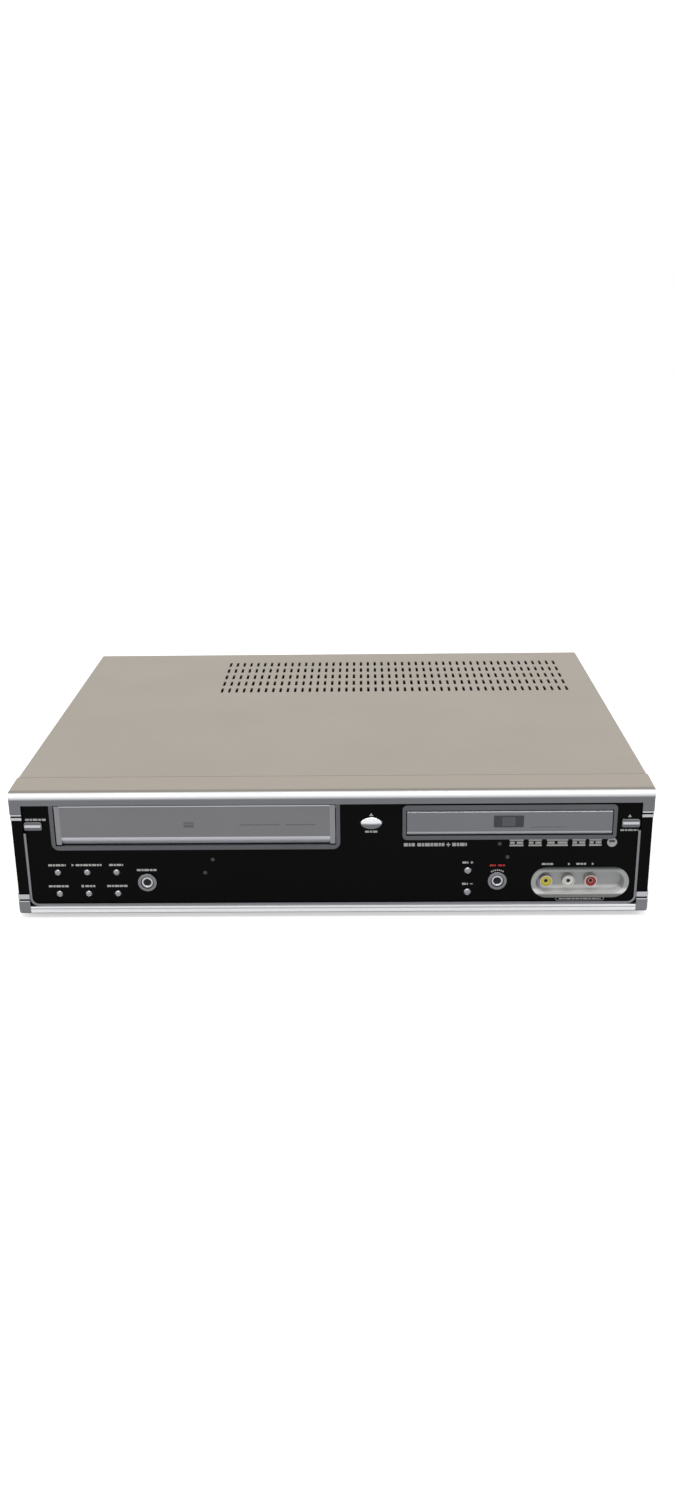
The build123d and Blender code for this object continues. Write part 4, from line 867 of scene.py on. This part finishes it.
# turned parts along the depth: a profile of (radius, y) is spun round an axis through x, z
def turned(bm, x, z, profile, steps):
    verts = [bm.verts.new((x * mm + radius * mm, y * mm, z * mm)) for radius, y in profile]
    edges = [bm.edges.new(pair) for pair in zip(verts, verts[1:])]
    bmesh.ops.spin(
        bm, geom=verts + edges, cent=(x * mm, 0, z * mm), axis=(0, 1, 0),
        angle=math.tau, steps=steps, use_merge=True,
    )


# chrome bead in the dish of each round button
roundBeads = dict(
    places=dict(left_round=-125.5, right_round=112.3),
    z=26.21,
    profile=[
        (2.45, -176.36), (2.55, -176.75), (2.85, -177.1), (3.25, -177.25),
        (3.65, -177.15), (3.95, -176.88), (2.45, -176.36),
    ],
    steps=40,
)


def makeBeads(beads):
    for key, x in beads["places"].items():
        bm = bmesh.new()
        turned(bm, x, beads["z"], beads["profile"], beads["steps"])
        addPiece(key + "_bead", bm, "bead_chrome", key + "_key")


# low dome on the eject button: the cap of a ball, flattened to the half sizes given
ejectDome = dict(
    place=(27.15, -177.85, 69.0),
    halfWidth=6.0,
    halfHeight=3.0,
    depth=0.55,
    capAngle=60,
    segments=(40, 36),
)


def makeEjectDome(dome):
    angle = math.radians(dome["capAngle"])
    wide = dome["halfWidth"] * mm / math.sin(angle)
    high = dome["halfHeight"] * mm / math.sin(angle)
    deep = dome["depth"] * mm / (1 - math.cos(angle))
    sink = Matrix.Translation((0, 0, -math.cos(angle)))
    place = Matrix.Translation([c * mm for c in dome["place"]])
    around, along = dome["segments"]
    bm = bmesh.new()
    bmesh.ops.create_uvsphere(bm, u_segments=around, v_segments=along, radius=1.0, matrix=sink)
    bmesh.ops.bisect_plane(
        bm, geom=bm.verts[:] + bm.edges[:] + bm.faces[:],
        plane_co=(0, 0, 0), plane_no=(0, 0, 1), clear_inner=True,
    )
    bmesh.ops.holes_fill(bm, edges=bm.edges[:], sides=0)
    bmesh.ops.transform(bm, verts=bm.verts, matrix=place @ frontTurn @ Matrix.Diagonal((wide, high, deep, 1)))
    addPiece("eject_dome", bm, "eject_chrome", "eject_key")


# ridge across the power and open keys, with a profile of (y, z)
keyRidges = dict(
    places=dict(power=-199.8, open=199.8),
    profile=[
        (-177.65, 69.3), (-178.0, 68.8), (-178.3, 68.2), (-178.4, 67.8), (-178.3, 67.6), (-177.65, 67.5),
    ],
    width=10.8,
)


def makeKeyRidges(ridges):
    for key, x in ridges["places"].items():
        start = x - ridges["width"] / 2
        bm = bmesh.new()
        bm.faces.new([bm.verts.new((start * mm, y * mm, z * mm)) for y, z in ridges["profile"]])
        thicken(bm, x=ridges["width"])
        addPiece(key + "_ridge", bm, "bead_chrome", key + "_key")


makeBeads(roundBeads)
makeEjectDome(ejectDome)
makeKeyRidges(keyRidges)
print("key relief done")


# spring contact inside each front socket, with a dark mouth
frontSockets = dict(
    places=(145.5, 160.6, 175.7),
    z=25.2,
    tip=-174.6,
    end=-170.0,
    innerRadius=1.2,
    outerRadius=1.5,
    mouthFlare=0.1,
    flareDepth=0.2,
    darkRadius=1.15,
    darkDepth=2.6,
    steps=20,
)


def makeSocketContacts(sockets):
    front, back, z = sockets["tip"], sockets["end"], sockets["z"]
    inner, outer = sockets["innerRadius"], sockets["outerRadius"]
    sleeve = [
        (inner, back), (inner, front + sockets["flareDepth"]), (inner + sockets["mouthFlare"], front),
        (outer, front), (outer, back), (inner, back),
    ]
    bm = bmesh.new()
    for x in sockets["places"]:
        turned(bm, x, z, sleeve, sockets["steps"])
    addPiece("socket_contacts", bm, "jack_metal", "case")
    dark, face = sockets["darkRadius"], back - sockets["darkDepth"]
    bm = bmesh.new()
    for x in sockets["places"]:
        turned(bm, x, z, [(0.0, face), (dark, face), (dark, back), (0.0, back)], sockets["steps"])
    addPiece("socket_mouths", bm, "socket_black", "case")


makeSocketContacts(frontSockets)


# coloured collars and bright skins on the rear phono sleeves
rearPhono = dict(
    columns=[(-10.4, "jack_yellow"), (4.0, "jack_white"), (18.4, "jack_red")],
    rows=(23.1, 40.1),
    base=167.5,
    collar=[(4.2, 0.0), (6.0, 0.0), (6.0, 0.9), (5.7, 1.2), (4.2, 1.2), (4.2, 0.0)],
    skin=[
        (4.2, 1.3), (4.28, 1.3), (4.28, 7.75), (4.15, 8.05),
        (3.3, 8.05), (3.3, 7.95), (4.2, 7.9), (4.2, 1.3),
    ],
    steps=28,
)


def onBase(profile, base):
    return [(radius, base + rise) for radius, rise in profile]


def makeRearCollars(phono):
    collar = onBase(phono["collar"], phono["base"])
    for column, (x, tone) in enumerate(phono["columns"], 1):
        bm = bmesh.new()
        for z in phono["rows"]:
            turned(bm, x, z, collar, phono["steps"])
        addPiece("rear_collars_%d" % column, bm, tone, "case")
    skin = onBase(phono["skin"], phono["base"])
    bm = bmesh.new()
    for x, tone in phono["columns"]:
        for z in phono["rows"]:
            turned(bm, x, z, skin, phono["steps"])
    addPiece("rear_sleeves", bm, "jack_metal", "case")


# pins inside the aerial sockets, measured back from the tip of the sleeve
aerialPins = dict(
    x=176.0,
    rows=(25.4, 43.8),
    tip=178.5,
    profile=[(0.0, -1.6), (0.7, -2.0), (1.1, -3.0), (1.1, -8.9), (2.6, -8.9), (2.6, -9.0), (0.0, -9.0)],
    steps=20,
)


def makeAerialPins(pins):
    bm = bmesh.new()
    for z in pins["rows"]:
        turned(bm, pins["x"], z, onBase(pins["profile"], pins["tip"]), pins["steps"])
    addPiece("aerial_pins", bm, "jack_metal", "case")


# contact blades in two rows inside each 21-pin socket
socketBlades = dict(
    places=(66.0, 124.0),
    y=165.3,
    z=22.6,
    rise=4.6,
    counts={1: 10, -1: 11},     # upper and lower row
    pitch=3.8,
    size=(1.4, 7.2, 0.5),
)


def makeContactBlades(blades):
    size = Matrix.Diagonal((*[s * mm for s in blades["size"]], 1))
    bm = bmesh.new()
    for middle in blades["places"]:
        for row, count in blades["counts"].items():
            z = blades["z"] + row * blades["rise"]
            for step in range(count):
                x = middle + (step - (count - 1) / 2) * blades["pitch"]
                place = Matrix.Translation((x * mm, blades["y"] * mm, z * mm))
                bmesh.ops.create_cube(bm, size=1, matrix=place @ size)
    addPiece("socket_blades", bm, "rod_steel", "case")


# bright caps on the two pins of the mains inlet
inletCaps = dict(
    x=-168.0,
    z=34.0,
    side=4.3,
    start=157.6,
    profile=[(0.0, 0.0), (1.3, 0.0), (1.3, 7.4), (0.9, 8.0), (0.0, 8.0)],
    steps=20,
)


def makeInletCaps(caps):
    profile = onBase(caps["profile"], caps["start"])
    bm = bmesh.new()
    for side in (-1, 1):
        turned(bm, caps["x"] + side * caps["side"], caps["z"], profile, caps["steps"])
    addPiece("inlet_pin_caps", bm, "jack_metal", "case")


# bare plate and rows of bars on the rear panel
rearMarks = dict(
    face=166.5,
    plate=(-92.0, 58.0, 62.0, 26.0),
    plateCorner=2.0,
    plateProud=0.2,
    rows=[
        (-2.5, 10.5, 52.0),
        (50.0, 82.0, 34.2),
        (108.0, 140.0, 34.2),
        (166.0, 186.0, 58.4),
        (-178.0, -158.0, 46.4),
    ],
    rowHeight=2.0,
    rowProud=0.06,
)


def makeRearMarks(marks):
    x, z, width, height = marks["plate"]
    bm = bmesh.new()
    flatShape(bm, x, z, marks["face"], width, height, corner=marks["plateCorner"], facing=rearTurn)
    thicken(bm, y=marks["plateProud"])
    addPiece("rear_plate", bm, "plate_grey", "case")
    bm = bmesh.new()
    for start, end, z in marks["rows"]:
        labelBars(bm, start, end, z, marks["face"], marks["rowHeight"], facing=rearTurn)
    thicken(bm, y=marks["rowProud"])
    addPiece("rear_marks", bm, "label_print", "case")


makeRearCollars(rearPhono)
makeAerialPins(aerialPins)
makeContactBlades(socketBlades)
makeInletCaps(inletCaps)
makeRearMarks(rearMarks)
print("rear details done")

bpy.context.view_layer.update()
